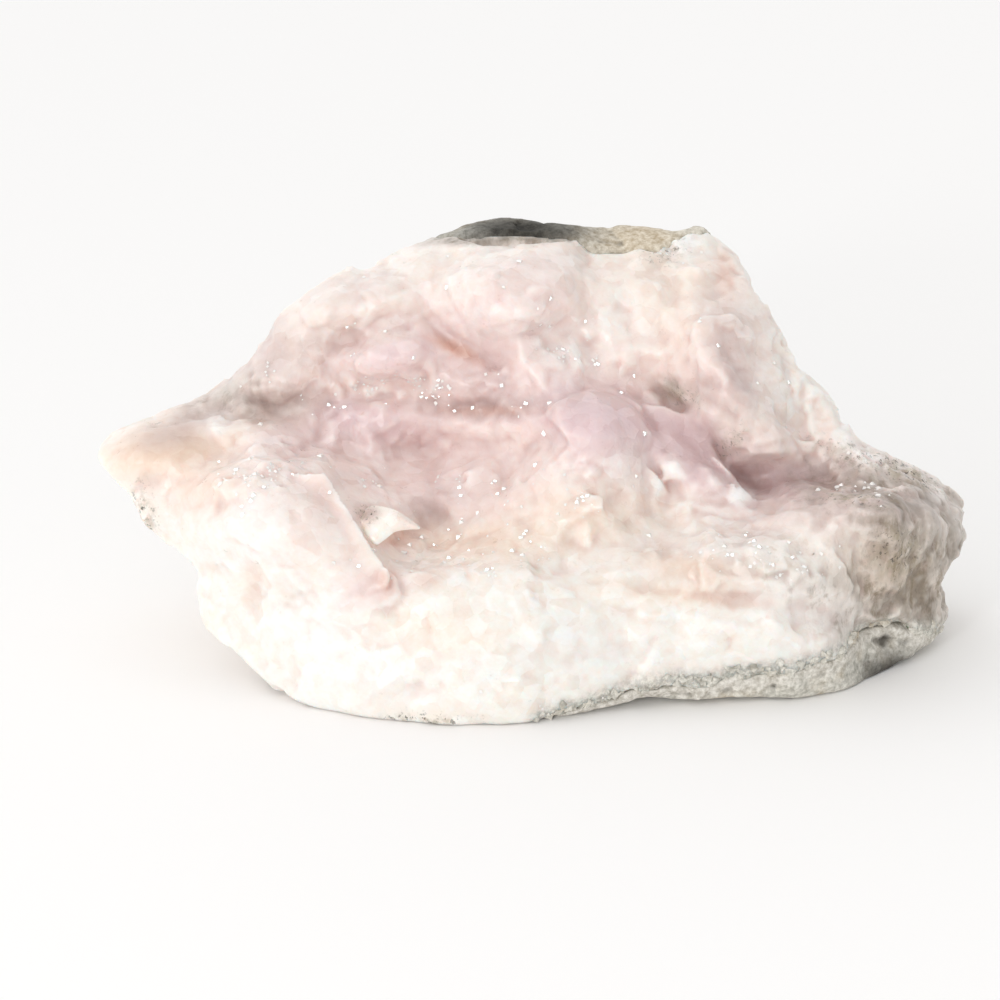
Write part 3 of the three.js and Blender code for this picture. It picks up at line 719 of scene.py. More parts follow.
# Where the crust takes its colours: each tint's patches and how strong it is there
tints = dict(
    blush=[
        (-6, 60, 48, 26, 0, 1), (46, 46, 24, 10, -6, 0.8), (-60, 44, 12, 7, 0, 0.7), (-41, 39, 16, 12, -20, 0.6),
    ],
    rose=[
        (-20, 49.5, 21, 8, -8, 0.55), (-10, 62.3, 8, 3.4, 0, 0.7), (-13, 69.5, 10, 5, -14, 0.9),
        (-1, 79, 10, 9, 0, 0.45), (-9, 57.6, 11, 3.4, 0, 0.8), (-29, 25, 8, 4, 10, 0.7), (-12, 40, 12, 5, 0, 0.5),
        (36, 66, 10, 8, -50, 0.35),
    ],
    mauve=[
        (12.5, 54.5, 14, 7.5, -12, 1), (-34, 57, 6, 3, 0, 0.8), (30, 49, 13, 6, -44, 1), (47, 44, 11, 3.6, -3, 1),
        (-46, 51.5, 8, 4, 0, 0.35), (-26.5, 67, 9, 4.2, 4, 0.7), (-28, 54, 12, 5, 0, 0.7),
    ],
    peach=[
        (22, 77, 13, 13, 0, 0.3), (-66, 51, 13, 5, 14, 1), (-9, 33, 15, 4, 0, 0.6), (8, 38, 16, 6, 0, 0.45),
        (30, 23.4, 15, 1.9, -6, 0.6), (-20, 16, 14, 6, 0, 0.3), (-50.4, 26, 3, 4, 0, 0.6),
        (28, 28.5, 9, 2.6, -10, 0.65), (-60, 43.5, 8, 5, 0, 0.4), (64, 26, 10, 9, 0, 0.6),
    ],
    # painted shade in a greyish mauve, where the crust lies in shade: the slab's flank turned from the key light,
    # pockets, recesses and cracks
    dusk=[
        (32, 48, 13, 5, -44, 0.3), (47, 44, 11, 3.6, -3, 0.45), (35.5, 60, 6, 5, 0, 0.5),
        (-9, 57.6, 10, 2.4, 0, 0.95), (38, 77, 6, 8, 0, 0.25), (-52, 58, 11, 3, 4, 0.45), (56, 40, 12, 5, -4, 0.5),
        (-19, 39.5, 6, 3, 20, 0.5), (70, 40, 9, 5, -10, 0.5), (-64, 54, 9, 3.6, 20, 0.65), (30, 30, 12, 5, -6, 0.2),
        (-50, 67, 9, 6, 36, 0.42), (-34, 78, 11, 4, 16, 0.2), (-42, 68, 15, 8, 16, 0.14),
        (-10, 62.3, 8, 3, 0, 0.35), (34, 70, 9, 5, -60, 0.25), (-30, 38.2, 2.4, 1.6, 0, 0.8),
        (-36.2, 43, 2.4, 4, -30, 0.3),
    ],
    # real brown-grey stains, with painted shade on the right end, under the left ledges and in cracks, where shade
    # falls
    fawn=[
        (76, 26, 14, 22, 0, 0.7), (74, 22, 8, 10, 0, 0.8), (67, 29, 7, 11, 20, 0.7), (62, 16, 10, 8, 0, 0.6),
        (60, 42.5, 15, 6, -6, 0.55), (-52, 58, 11, 3.2, 4, 0.4), (-57, 61, 7, 3, 20, 0.3),
        (38, 51.5, 6, 6, -45, 0.15), (26, 60.5, 4, 2.4, -30, 0.5), (52, 27, 18, 6, -10, 0.25),
        (57, 22.5, 9, 6, 0, 0.6), (-8, 89.8, 13, 1.7, 0, 1), (-8, 89.8, 13, 1.4, 0, 0.7),
    ],
    rust=[
        (-14.5, 68.6, 4.6, 1.5, -24, 0.9), (36, 83, 2.2, 5, 0, 0.4), (-24.5, 34, 4.5, 3, 0, 0.5),
        (-50.4, 26, 2, 3.4, 0, 0.2), (-26.2, 26.5, 2.2, 2.4, 0, 0.6), (-19, 26.5, 2.6, 1.4, 0, 0.4),
        (36, 22.6, 10, 0.9, -7, 0.3), (-9, 57, 9, 1, 0, 0.4),
    ],
    milk=[
        (-6, 73, 10, 4, 10, 0.35), (18, 48, 6, 4, -20, 0.35), (-52, 28, 8, 8, 0, 0.4), (48, 13, 9, 4, 0, 0.4),
        (16, 74, 8, 8, 0, 0.5), (66, 12, 6, 3, 0, 0.6), (25.3, 46.2, 2.2, 2.2, 0, 0.9),
        (37.4, 41.3, 2.6, 1.8, 0, 0.9), (33, 43.8, 1.5, 1.5, 0, 0.7), (22.4, 42.8, 1.8, 1.8, 0, 0.6),
        (57.6, 52.2, 2, 2.6, 0, 0.9), (62, 48.6, 3.4, 2, -10, 0.8), (-58, 54.5, 3.5, 3, 20, 0.7),
        (75.5, 42, 2, 2, 0, 0.8), (-50, 35, 5, 7, 0, 0.6), (-40, 19, 10, 6, 0, 0.6), (5, 68, 7, 5, 0, 0.45),
        (47, 21, 15, 6, -6, 0.55), (72, 46, 6, 2.4, -20, 0.4), (66, 16, 4, 3, 0, 0.6), (28, 89, 4, 4, 0, 0.8),
        (-30, 10, 22, 8, 0, 0.6), (10, 14, 16, 6, 0, 0.5),
    ],
    fleck=[
        (69, 45.5, 9, 2.6, -16, 1), (57.8, 40.8, 7, 1.4, -4, 1), (-71.2, 37.5, 2.4, 5.5, 8, 0.9),
        (-19, 1.5, 9, 1.4, 0, 0.9), (66, 31, 6, 5, 0, 0.8), (57, 50, 8, 2, -16, 0.4), (27, 60, 4, 2, -20, 0.5),
        (36, 51, 2, 4, -35, 0.6), (25, 87, 5, 2.5, 20, 0.7), (-29.8, 38.3, 2.2, 1.5, -20, 1),
    ],
)


def tintShare(x, v, patches, wave):
    bare = np.ones(len(x))
    for patch in patches:
        d = near(x, v, patch) + 0.3 * wave
        bare *= 1 - patch[5] * np.exp(-1.1 * np.clip(d, 0, None) ** 2.6)
    return 1 - bare


def paintCalcite(mesh, rockTree=None, edges=1.0, chosen=tints):
    # the tints, and where the surface is a crack, an edge or a wide hollow, or lies near the rock, as attributes
    ends = neighbours(mesh)
    co = places(mesh)
    n = normals(mesh)
    p = co / mm
    x, v, _ = toFace(co)
    wave = clouds(p, 6, 61, 3)
    front = ramp(n @ outward, -0.5, 0.1)
    for name, patches in tints.items():
        addAttribute(mesh, name, tintShare(x, v, patches, wave) * front * (name in chosen))
    addAttribute(mesh, "crease", sunken(co, n, ends, rounds=8, reach=0.22 / edges))
    addAttribute(mesh, "hollow", sunken(co, n, ends, rounds=90, reach=2.2 / edges))
    rim = np.zeros(len(x))
    if rockTree:
        rim = 1 - ramp(distanceTo(rockTree, co, 0.006) / mm + 1.5 * wave, *crust["rim"])
        rim *= 1 - front * ramp(v, 60, 70)  # the crust ends clean against the dark band at the crest
    addAttribute(mesh, "rim", rim)


# Each tint from its deep to its pale tone
calciteTones = dict(
    blush=("#F0DBD5", "#F5E6E1"),
    rose=("#E4CBC8", "#ECDAD8"),
    mauve=("#DBC1C4", "#E4CFD1"),
    peach=("#EBCFB8", "#F2DECB"),
    # painted shade in a greyish mauve
    dusk=("#BBA09C", "#CDB6B1"),
    # stains with painted shade
    fawn=("#5F5140", "#988A76"),
    rust=("#D3A08B", "#E3B9A6"),
    milk=("#F6EEEB", "#FDFAF7"),
)

# Noise patterns: scale, which is 1000 divided by the width of its largest blotches in millimetres, detail, roughness,
# and whether they are stretched downwards. Blotches of 2.1, 5.3, 3.3 and 0.9 mm.
calciteNoise = dict(
    veins=(480.0, 4.0, 0.68, False),
    streaks=(190.0, 4.0, 0.65, True),
    seams=(300.0, 5.0, 0.7, True),
    crumbs=(1100.0, 4.0, 0.7, False),
)

# What lies over the tints, from the bottom up: what it follows, the range over which it grows, how strong it gets,
# the tint that it keeps to, its colour, or none for grit, and how it blends
calciteLayers = [
    ("seams", 0.52, 0.64, 0.9, "fawn", "#7E6D52", "MIX"),
    # painted shade: darker in wide hollows and in cracks, where shade falls
    ("hollow", 0.5, 0.95, 0.35, None, "#DBBAB3", "MULTIPLY"),
    ("crease", 0.5, 0.95, 0.4, None, "#E4CAC4", "MULTIPLY"),
    ("crease", 0.5, 0.1, 0.3, None, "#FDF8F4", "MIX"),  # painted highlight on edges and ridges
    ("rim", 0.0, 1.0, 1.0, None, None, "MIX"),  # granular grey where the crust thins out onto the rock
    ("veins", 0.45, 0.6, 0.6, "fleck", "#9A8C6C", "MIX"),  # olive dust round the manganese-oxide specks
    ("crumbs", 0.585, 0.61, 1.0, "fleck", "#4A4236", "MIX"),  # the specks
]


def calciteMaterial(name, depth, gloss):  # how deep light goes in millimetres, and the least roughness
    # Manganocalcite: a carbonate of glassy to pearly lustre, milky and translucent, so light spreads some
    # millimetres below the surface and softens every edge; pink where manganese is richest.
    material, add = newMaterial(name)
    spot = add("ShaderNodeTexCoord").outputs["Object"]
    mix = dict(data_type="RGBA")
    times = dict(operation="MULTIPLY", use_clamp=True)
    painted = {
        name: add("ShaderNodeAttribute", dict(attribute_name=name)).outputs["Fac"]
        for name in (*tints, "crease", "hollow", "rim")
    }
    down = add("ShaderNodeMapping", Vector=spot, Scale=(1, 1, 0.5)).outputs["Vector"]
    noise = {}
    for name, (scale, detail, rough, stretched) in calciteNoise.items():
        where = down if stretched else spot
        pattern = add("ShaderNodeTexNoise", Vector=where, Scale=scale, Detail=detail, Roughness=rough)
        noise[name] = pattern.outputs["Fac"]
    # crystal grains some 3 mm across, each a little milkier or clearer than the next, bent by a noise of 4 mm
    sway = add("ShaderNodeTexNoise", Vector=spot, Scale=260.0, Detail=3.0).outputs["Color"]
    bent = add("ShaderNodeVectorMath", dict(operation="SCALE"), Vector=sway, Scale=0.0022).outputs["Vector"]
    bent = add("ShaderNodeVectorMath", dict(operation="ADD"), _0=spot, _1=bent).outputs["Vector"]
    facets = add("ShaderNodeTexVoronoi", Vector=bent, Scale=330.0).outputs
    grains = add("ShaderNodeSeparateColor", Color=facets["Color"]).outputs["Red"]
    veined = add("ShaderNodeMapRange", Value=noise["veins"], From_Min=0.35, From_Max=0.65).outputs[0]
    veined = add("ShaderNodeMix", dict(data_type="FLOAT"), _0=0.45, _2=veined, _3=grains).outputs[0]
    base = add("ShaderNodeMix", mix, _0=veined, _6=colour("#F4E9DE"), _7=colour("#FBF8F4")).outputs[2]
    # brown-grey stains run down the broken end in streaks; the same tint also holds painted shade on the right end
    # and in recesses
    streak = add("ShaderNodeMapRange", Value=noise["streaks"], From_Min=0.36, From_Max=0.56, To_Min=0.4).outputs[0]
    stainedAndShaded = add("ShaderNodeMath", times, _0=painted["fawn"], _1=streak).outputs[0]
    for name, (deep, pale) in calciteTones.items():
        tone = add("ShaderNodeMix", mix, _0=veined, _6=colour(deep), _7=colour(pale)).outputs[2]
        share = stainedAndShaded if name == "fawn" else painted[name]
        base = add("ShaderNodeMix", mix, _0=share, _6=base, _7=tone).outputs[2]
    crumb = add("ShaderNodeMapRange", Value=noise["crumbs"], From_Min=0.36, From_Max=0.62).outputs[0]
    grit = add("ShaderNodeMix", mix, _0=crumb, _6=colour("#8E8B80"), _7=colour("#E4E1D8")).outputs[2]
    followed = painted | noise
    for follows, low, high, most, within, code, blend in calciteLayers:
        ends = dict(From_Min=low, From_Max=high, To_Max=most)
        share = add("ShaderNodeMapRange", Value=followed[follows], **ends).outputs[0]
        if within:
            share = add("ShaderNodeMath", times, _0=share, _1=painted[within]).outputs[0]
        over = colour(code) if code else grit
        base = add("ShaderNodeMix", dict(mix, blend_type=blend), _0=share, _6=base, _7=over).outputs[2]
    # a small flat cleavage facet on each grain, leaning its own way
    away = add("ShaderNodeVectorMath", dict(operation="SUBTRACT"), _0=bent, _1=facets["Position"]).outputs[0]
    lean = add("ShaderNodeVectorMath", dict(operation="SUBTRACT"), _0=facets["Color"], _1=(0.5, 0.5, 0.5))
    height = add("ShaderNodeVectorMath", dict(operation="DOT_PRODUCT"), _0=away, _1=lean.outputs[0])
    relief = add("ShaderNodeBump", Strength=0.32, Distance=1.0, Height=height.outputs["Value"])
    ends = dict(From_Min=0.3, From_Max=0.7, To_Min=gloss, To_Max=gloss + 0.2)
    rough = add("ShaderNodeMapRange", Value=noise["veins"], **ends)
    milky = add("ShaderNodeMapRange", Value=stainedAndShaded, To_Min=1.0, To_Max=0.35)  # stained and shaded stone lets in less
    shader = add(
        "ShaderNodeBsdfPrincipled",
        Base_Color=base,
        Roughness=rough.outputs[0],
        IOR=1.56,
        Normal=relief.outputs["Normal"],
        Subsurface_Weight=milky.outputs[0],
        Subsurface_Radius=(1.0, 0.74, 0.64),
        Subsurface_Scale=depth * mm,
    )
    add("ShaderNodeOutputMaterial", Surface=shader.outputs["BSDF"])
    return material


calcite = calciteMaterial("manganocalcite, milky pink", depth=2.0, gloss=0.26)
cleaved = calciteMaterial("calcite, white blade", depth=0.5, gloss=0.2)
rockTree = treeOf(nodeCopy("matrix_rock", "rock_shape"))
crustMesh = buildCrust(rockTree)
paintCalcite(crustMesh, rockTree)
print("crust before thinning:", 2 * len(crustMesh.polygons))
crustMesh = withModifier(crustMesh, "DECIMATE", ratio=crust["triangles"] / (2 * len(crustMesh.polygons)))
for polygon in crustMesh.polygons:
    polygon.use_smooth = True
addPiece(crustMesh, "calcite_crust", "calcite_mass", calcite)


# Blade: a curled leaf of calcite between two edges and the ridge along its middle, in face millimetres
blade = dict(
    upper=[
        (-31.0, 37.2, -6), (-29.8, 39.2, -6), (-28.2, 39.6, -5.8),
        (-25, 38.8, -5.6), (-23, 37.6, -5.4), (-20.5, 35.7, -5),
    ],
    ridge=[
        (-30.8, 36.4, -5), (-29.4, 37.0, -4.2), (-27.3, 37.3, -3.9),
        (-25, 37.4, -4.0), (-22.8, 36.6, -4.3), (-20.4, 35.6, -4.8),
    ],
    lower=[
        (-30.4, 35.6, -5.4), (-29.9, 34.2, -4.6), (-28.2, 32.6, -4.2),
        (-26.4, 33.8, -4.6), (-24.7, 35.0, -4.8), (-20.5, 35.5, -5),
    ],
    across=8,
    steps=26,
    thickness=0.55,
    waviness=0.1,
)


def splineAt(points, t):
    # a smooth curve through the points
    p = np.array([points[0], *points, points[-1]], float)
    place = t * (len(points) - 1)
    i = min(int(place), len(points) - 2)
    f = place - i
    a, b, c, d = p[i : i + 4]
    return 0.5 * (2 * b + (c - a) * f + (2 * a - 5 * b + 4 * c - d) * f**2 + (3 * b - a - 3 * c + d) * f**3)


def buildBlade():
    work = bmesh.new()
    rows = []
    for i in range(blade["steps"] + 1):
        t = i / blade["steps"]
        rails = [splineAt(blade[k], t) for k in ("upper", "ridge", "lower")]
        row = []
        for j in range(blade["across"] + 1):
            u = 2 * j / blade["across"]
            start, end = (rails[0], rails[1]) if u <= 1 else (rails[1], rails[2])
            share = u if u <= 1 else u - 1
            wave = blade["waviness"] * math.sin(1.7 * j + 0.25 * i)
            row.append(work.verts.new(fromFace(*(start + (end - start) * share + [0, 0, wave]))))
        rows.append(row)
    for low, high in zip(rows, rows[1:]):
        for j in range(blade["across"]):
            work.faces.new((low[j], low[j + 1], high[j + 1], high[j]))
    bmesh.ops.remove_doubles(work, verts=work.verts, dist=1e-5)
    bmesh.ops.recalc_face_normals(work, faces=work.faces)
    mesh = bpy.data.meshes.new("blade")
    work.to_mesh(mesh)
    work.free()
    mesh = withModifier(mesh, "SOLIDIFY", thickness=blade["thickness"] * mm, offset=0)
    return withModifier(mesh, "SUBSURF", levels=1, render_levels=1)


bladeMesh = buildBlade()
# the blade takes only its specks and the painted shade
paintCalcite(bladeMesh, edges=0.5, chosen=("fleck", "dusk"))
addPiece(bladeMesh, "curled_blade", "white_blade", cleaved)


def sparkMaterial():
    # Tiny fresh crystals: clear faces with a bright, sharp lustre, so each flashes white where it meets the light.
    material, add = newMaterial("calcite, tiny fresh rhombs")
    spot = add("ShaderNodeTexCoord").outputs["Object"]
    cloud = add("ShaderNodeTexNoise", Vector=spot, Scale=700.0, Detail=3.0).outputs["Fac"]  # 1.4 mm
    pair = dict(_6=colour("#F6ECE6"), _7=colour("#FFFEFC"))
    milk = add("ShaderNodeMix", dict(data_type="RGBA"), _0=cloud, **pair).outputs[2]
    rough = add("ShaderNodeMapRange", Value=cloud, To_Min=0.05, To_Max=0.22).outputs[0]
    shader = add(
        "ShaderNodeBsdfPrincipled",
        Base_Color=milk,
        Roughness=rough,
        IOR=1.6,
        Subsurface_Weight=0.5,
        Subsurface_Radius=(1.0, 0.9, 0.85),
        Subsurface_Scale=0.15 * mm,
    )
    add("ShaderNodeOutputMaterial", Surface=shader.outputs["BSDF"])
    return material


# Small cleavage rhombs that stand out of the crust, and the few whose faces catch the key light; ownWay is 1 where
# they stand the way the crust faces and 0 where they face the light
rhombs = dict(
    sugar=dict(size=0.42, spacing=0.7, lean=0.3, ownWay=1.0, seed=4),
    glint=dict(size=0.55, spacing=0.6, lean=0.05, ownWay=0.0, seed=9),
)

# Where they grow: patch and share
rhombPatches = dict(
    sugar=[
        (-27, 61.5, 11, 2, 2, 0.9), (-48, 45, 7, 2.6, 20, 0.9), (-50, 63, 5, 2, 20, 0.6), (6, 68, 6, 6, 0, 0.6),
        (-13, 45, 5, 3, 0, 0.6), (8, 41, 12, 4, 0, 0.4), (36, 30, 14, 3, -6, 0.35), (28, 88, 5, 3, 0, 0.7),
        (-8, 29, 20, 2.5, 0, 0.5), (10, 5, 40, 3, -4, 0.25),
    ],
    glint=[
        (-52, 43, 5.5, 3.4, 20, 1), (-30.5, 58.2, 9, 1.6, 0, 0.6), (-20, 72.5, 1.6, 1.2, 0, 1),
        (-18, 60, 3, 2.5, 0, 0.8), (-34, 67, 3, 1.2, 0, 0.7), (9.5, 67, 3, 4.5, 20, 0.9), (19, 64, 2, 2, 0, 0.8),
        (30, 72, 2.5, 2, 0, 0.8), (-9.5, 44.3, 3.5, 2.8, 0, 1), (9.4, 41.5, 2.2, 1.6, 30, 1),
        (-30.5, 43.6, 1.6, 1.6, 0, 1), (-4, 57.5, 9, 2, 0, 0.5), (61, 42, 6, 2, 0, 0.6), (43, 30, 12, 4, -8, 0.35),
        (-10, 33, 14, 4, 0, 0.35), (0, 55, 60, 30, 0, 0.03),
    ],
)


def rhombShape():
    # a cleavage rhomb of calcite, its top face level
    mesh = bpy.data.meshes.new("rhomb")
    work = bmesh.new()
    bmesh.ops.create_cube(work, size=1)
    a, b = math.cos(bluntCorner), math.sin(bluntCorner)
    for vert in work.verts:
        x, y, z = vert.co
        vert.co = (x + a * y + a * z, b * y - 0.26 * z, 0.94 * z - 0.36)
    bmesh.ops.bevel(work, geom=work.edges[:], offset=0.05, segments=1, affect="EDGES")
    work.to_mesh(mesh)
    work.free()
    return bpy.data.objects.new("rhomb", mesh)


# Inputs of the tree that grows rhombs
rhombSockets = {"Geometry": "Geometry", "Crystal": "Object", "Spacing": "Float", "Size": "Float", "Lean": "Float"}
rhombSockets |= {"Facing": "Vector", "Own way": "Float", "Seed": "Int", "Finish": "Material"}


def rhombTree(name):
    # points scattered on the crust where its attribute of this name is high, a rhomb on each, turned towards a given
    # way or the surface's own
    tree = bpy.data.node_groups.new(name, "GeometryNodeTree")
    for title, kind in rhombSockets.items():
        tree.interface.new_socket(title, in_out="INPUT", socket_type="NodeSocket" + kind)
    tree.interface.new_socket("Geometry", in_out="OUTPUT", socket_type="NodeSocketGeometry")
    add = partial(addNode, tree)
    given = add("NodeGroupInput").outputs
    share = add("GeometryNodeInputNamedAttribute", dict(data_type="FLOAT"), Name=name).outputs["Attribute"]
    scatter = add(
        "GeometryNodeDistributePointsOnFaces",
        dict(distribute_method="POISSON"),
        Mesh=given["Geometry"],
        Distance_Min=given["Spacing"],
        Density_Max=2e6,
        Density_Factor=share,
        Seed=given["Seed"],
    ).outputs
    ways = dict(_0=given["Own way"], _4=given["Facing"], _5=scatter["Normal"])
    way = add("ShaderNodeMix", dict(data_type="VECTOR"), **ways).outputs[1]
    vector = dict(data_type="FLOAT_VECTOR")
    stray = add("FunctionNodeRandomValue", vector, _0=(-1, -1, -1), _1=(1, 1, 1), Seed=given["Seed"])
    stray = add("ShaderNodeVectorMath", dict(operation="SCALE"), _0=stray.outputs[0], Scale=given["Lean"])
    way = add("ShaderNodeVectorMath", dict(operation="ADD"), _0=way, _1=stray.outputs[0]).outputs[0]
    turn = add("FunctionNodeAlignRotationToVector", dict(axis="Z"), Vector=way).outputs[0]
    spin = add("FunctionNodeRandomValue", dict(data_type="FLOAT"), _2=0.0, _3=6.283, Seed=given["Seed"])
    spin = add("FunctionNodeAxisAngleToRotation", Axis=(0, 0, 1), Angle=spin.outputs[1]).outputs[0]
    turn = add("FunctionNodeRotateRotation", dict(rotation_space="LOCAL"), _0=turn, _1=spin).outputs[0]
    some = add("FunctionNodeRandomValue", dict(data_type="FLOAT"), _2=0.3, _3=1.5, Seed=given["Seed"])
    grown = add("ShaderNodeMath", dict(operation="MULTIPLY"), _0=some.outputs[1], _1=given["Size"])
    shape = add("GeometryNodeObjectInfo", Object=given["Crystal"]).outputs["Geometry"]
    spots = dict(Points=scatter["Points"], Rotation=turn, Scale=grown.outputs[0])
    placed = add("GeometryNodeInstanceOnPoints", Instance=shape, **spots).outputs[0]
    solid = add("GeometryNodeRealizeInstances", Geometry=placed).outputs[0]
    done = add("GeometryNodeSetMaterial", Geometry=solid, Material=given["Finish"]).outputs[0]
    add("NodeGroupOutput", Geometry=done)
    return tree


def lightward():
    # the way a face points that throws the key light into the camera
    key = (Vector(studio["keyPlace"]) - Vector(studio["lit"])).normalized()
    eye = (fromFace(*camera["aim"], camera["distance"]) - Vector(studio["lit"])).normalized()
    return (key + eye).normalized()


def grownRhombs(name, material, size, spacing, lean, ownWay, seed):
    # the rhombs that grow on the crust where its attribute of this name is high, as a plain mesh
    shape = rhombShape()
    inputs = {"Crystal": shape, "Spacing": spacing * mm, "Size": size * mm, "Lean": lean}
    inputs |= {"Facing": tuple(lightward()), "Own way": ownWay, "Seed": seed, "Finish": material}
    carrier = newObject("carrier", crustMesh)
    modifier = carrier.modifiers.new("rhombs", "NODES")
    modifier.node_group = rhombTree(name)
    for item in modifier.node_group.interface.items_tree:
        if item.in_out == "INPUT" and item.name in inputs:
            modifier[item.identifier] = inputs[item.name]
    graph = bpy.context.evaluated_depsgraph_get()
    result = bpy.data.meshes.new_from_object(carrier.evaluated_get(graph))
    bpy.data.objects.remove(carrier)
    bpy.data.objects.remove(shape)
    setPlaces(result, withinBox(places(result)))
    return result


def growRhombs():
    co = places(crustMesh)
    x, v, _ = toFace(co)
    front = ramp(normals(crustMesh) @ outward, 0, 0.3)
    clustered = ramp(clouds(co / mm, 2.6, 95), -0.05, 0.35)
    for name, patches in rhombPatches.items():
        share = tintShare(x, v, patches, np.zeros(len(x)))
        addAttribute(crustMesh, name, np.clip(share, 0, 1) * front * clustered)
    sparkling = sparkMaterial()
    for name, title in (("sugar", "sugar_rhombs"), ("glint", "bright_rhombs")):
        mesh = grownRhombs(name, sparkling, **rhombs[name])
        addPiece(mesh, title, "calcite_mass", sparkling)


growRhombs()


# Host rock, with the same settings as the crust where they have the same names
hostRock = dict(
    voxel=0.6,
    rounds=4,
    lastRounds=2,
    evening=(0.5, 0.4),
    broken=dict(wide=(14.0, 0.28, 1.0), small=(5.0, 0.22, 0.55)),  # width of the breaks, their lean and height
    frontFaces=0.25,  # how far the front shows such breaks; the back shows them in full
    unevenness=(0.4, 0.25),
    pitDepth=0.4,
    contactReach=2.5,
    coat=(0.5, 4.5),  # distances from the crust over which its dust fades out
)

# Where the rock takes its colours: each tint's patches and how strong it is there
rockTints = dict(
    coal=[(-2, 91, 13.5, 4, 0, 1), (65, 8, 6, 5, 0, 1), (-18, 1, 10, 1.5, 0, 0.6)],
    tan=[(20, 90, 11, 5, 0, 1)],
    coat=[(67, 17, 8, 5, 30, 0.7)],
)

# The stone and what lies over it, each from its dark to its pale speckles
rockTones = dict(
    stone=("#ABA89D", "#ECE9E0"),
    rust=("#B8A588", "#E8DDCA"),
    coat=("#B5AFA3", "#F0ECE4"),
    tan=("#B8A588", "#E8DDCA"),
    coal=("#201E1A", "#4A4740"),
)


def buildRock(crustTree):
    # the host rock with broken faces, pits and an uneven line against the crust, and its tints as attributes
    mass = nodeCopy("matrix_rock", "host_rock")
    mesh, co, ends = remeshed(mass, hostRock["voxel"], hostRock["rounds"], *hostRock["evening"])
    n = normals(mesh)
    p = co / mm
    wide, small = hostRock["unevenness"]
    rise = 0.3 + wide * clouds(p, 6, 81, 3)
    calm = relaxed(n, ends, 20, 0.6)
    calm /= np.linalg.norm(calm, axis=1)[:, None]
    behind = hostRock["frontFaces"] + (1 - hostRock["frontFaces"]) * ramp(-n @ outward, 0, 0.4)
    for seed, (width, lean, height) in enumerate(hostRock["broken"].values(), 84):
        rise += height * behind * flaked(co, calm, width, lean, seed)
    rise += small * clouds(p, 1.6, 86, 2)
    pits = np.clip(clouds(p, 2.8, 91, 3) - 0.3, 0, 1)
    rise -= hostRock["pitDepth"] * pits
    away = distanceTo(crustTree, co, 0.006) / mm
    contact = 1 - ramp(away, 0.2, hostRock["contactReach"])
    rise = rise * (1 - 0.7 * contact) + (0.45 - 0.8 * clouds(p, 3.2, 88)) * contact
    rest = ramp(p[:, 2], *restHeights)
    setPlaces(mesh, co + n * (rise * rest * mm)[:, None])
    mesh, co, ends = remeshed(mesh, hostRock["voxel"], hostRock["lastRounds"], *hostRock["evening"])
    co = withinBox(co)
    setPlaces(mesh, co)
    addAttribute(mesh, "crease", sunken(co, normals(mesh), ends, rounds=10, reach=0.35))
    x, v, _ = toFace(co)
    wave = clouds(co / mm, 6, 61, 3)
    away = distanceTo(crustTree, co, 0.006) / mm
    for name, patches in rockTints.items():
        share = tintShare(x, v, patches, wave)
        if name == "coat":
            share = np.maximum(share, (1 - ramp(away + 1.5 * wave, *hostRock["coat"])) * (v < 60))
        addAttribute(mesh, name, share)
    return mesh


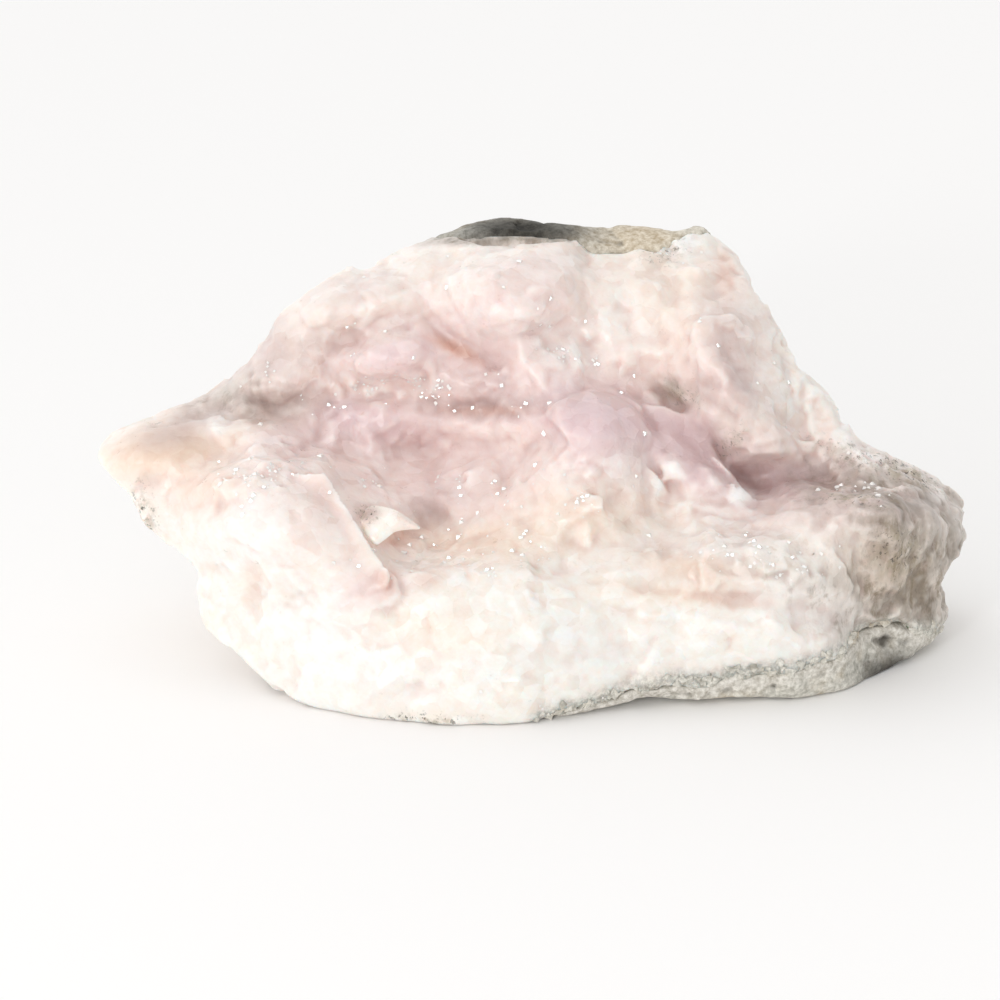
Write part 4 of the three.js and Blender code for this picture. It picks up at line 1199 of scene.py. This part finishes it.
def rockMaterial():
    # Altered host rock: fine-grained, dull and porous, so it throws back no highlight; pale grey, with darker and
    # rusty weathering.
    material, add = newMaterial("host rock, grey, porous")
    mix = dict(data_type="RGBA")
    spot = add("ShaderNodeTexCoord").outputs["Object"]
    painted = {
        name: add("ShaderNodeAttribute", dict(attribute_name=name)).outputs["Fac"]
        for name in (*rockTints, "crease")
    }
    # rusty weathering in blotches some 9 mm across, and mineral grains of 1 mm: finer ones wouldn't show
    cloud = add("ShaderNodeTexNoise", Vector=spot, Scale=110.0, Detail=6.0, Roughness=0.65).outputs["Fac"]
    grain = add("ShaderNodeTexNoise", Vector=spot, Scale=900.0, Detail=4.0, Roughness=0.7).outputs["Fac"]
    speckle = add("ShaderNodeMapRange", Value=grain, From_Min=0.34, From_Max=0.64).outputs[0]
    rust = add("ShaderNodeMapRange", Value=cloud, From_Min=0.5, From_Max=0.66, To_Max=0.6).outputs[0]
    shares = dict(painted, rust=rust)
    base = None
    for name, (deep, pale) in rockTones.items():
        tone = add("ShaderNodeMix", mix, _0=speckle, _6=colour(deep), _7=colour(pale)).outputs[2]
        base = add("ShaderNodeMix", mix, _0=shares[name], _6=base, _7=tone).outputs[2] if base else tone
    # painted shade: the rock is darker in its creases and pits
    creaseShade = add("ShaderNodeMapRange", Value=painted["crease"], From_Min=0.55, From_Max=0.9, To_Max=0.85)
    multiply = dict(mix, blend_type="MULTIPLY")
    base = add("ShaderNodeMix", multiply, _0=creaseShade.outputs[0], _6=base, _7=colour("#4E4A41")).outputs[2]
    relief = add("ShaderNodeBump", Strength=0.5, Distance=0.0003, Height=grain).outputs["Normal"]
    shader = add("ShaderNodeBsdfPrincipled", Base_Color=base, Roughness=0.92, Normal=relief)
    add("ShaderNodeOutputMaterial", Surface=shader.outputs["BSDF"])
    return material


crustTree = treeOf(nodeCopy("calcite_mass", "crust_shape"))
rock = rockMaterial()
addPiece(buildRock(crustTree), "host_rock", "matrix_rock", rock)

# Crumbs of rock and calcite along the line where the crust thins out onto the rock, up to a height on the face
crumbs = dict(size=1.1, spacing=0.85, lean=0.8, ownWay=1.0, seed=13)
crumbLine = dict(rim=(0.4, 0.85), below=60, floorGap=0.5)


def growCrumbs():
    co = places(crustMesh)
    _, v, _ = toFace(co)
    rim = np.empty(len(co), np.float32)
    crustMesh.attributes["rim"].data.foreach_get("value", rim)
    share = ramp(rim, *crumbLine["rim"]) * ramp(clouds(co / mm, 3.0, 97), -0.5, 0.1)
    share *= (v < crumbLine["below"]) * (co[:, 2] > crumbLine["floorGap"] * mm)
    addAttribute(crustMesh, "crumb", share)
    addPiece(grownRhombs("crumb", rock, **crumbs), "rim_crumbs", "matrix_rock", rock)


growCrumbs()


def addFloor():
    mesh = bpy.data.meshes.new("floor")
    s = studio["floorSize"] / 2
    mesh.from_pydata([(-s, -s, 0), (s, -s, 0), (s, s, 0), (-s, s, 0)], [], [(0, 1, 2, 3)])
    floor = newObject("floor", mesh)
    material, add = newMaterial("matt white board")  # spreads light evenly and shows no highlight
    shader = add("ShaderNodeBsdfPrincipled", Base_Color=colour(studio["floor"]), Roughness=0.8)
    add("ShaderNodeOutputMaterial", Surface=shader.outputs["BSDF"])
    mesh.materials.append(material)
    print("floor added")


addFloor()
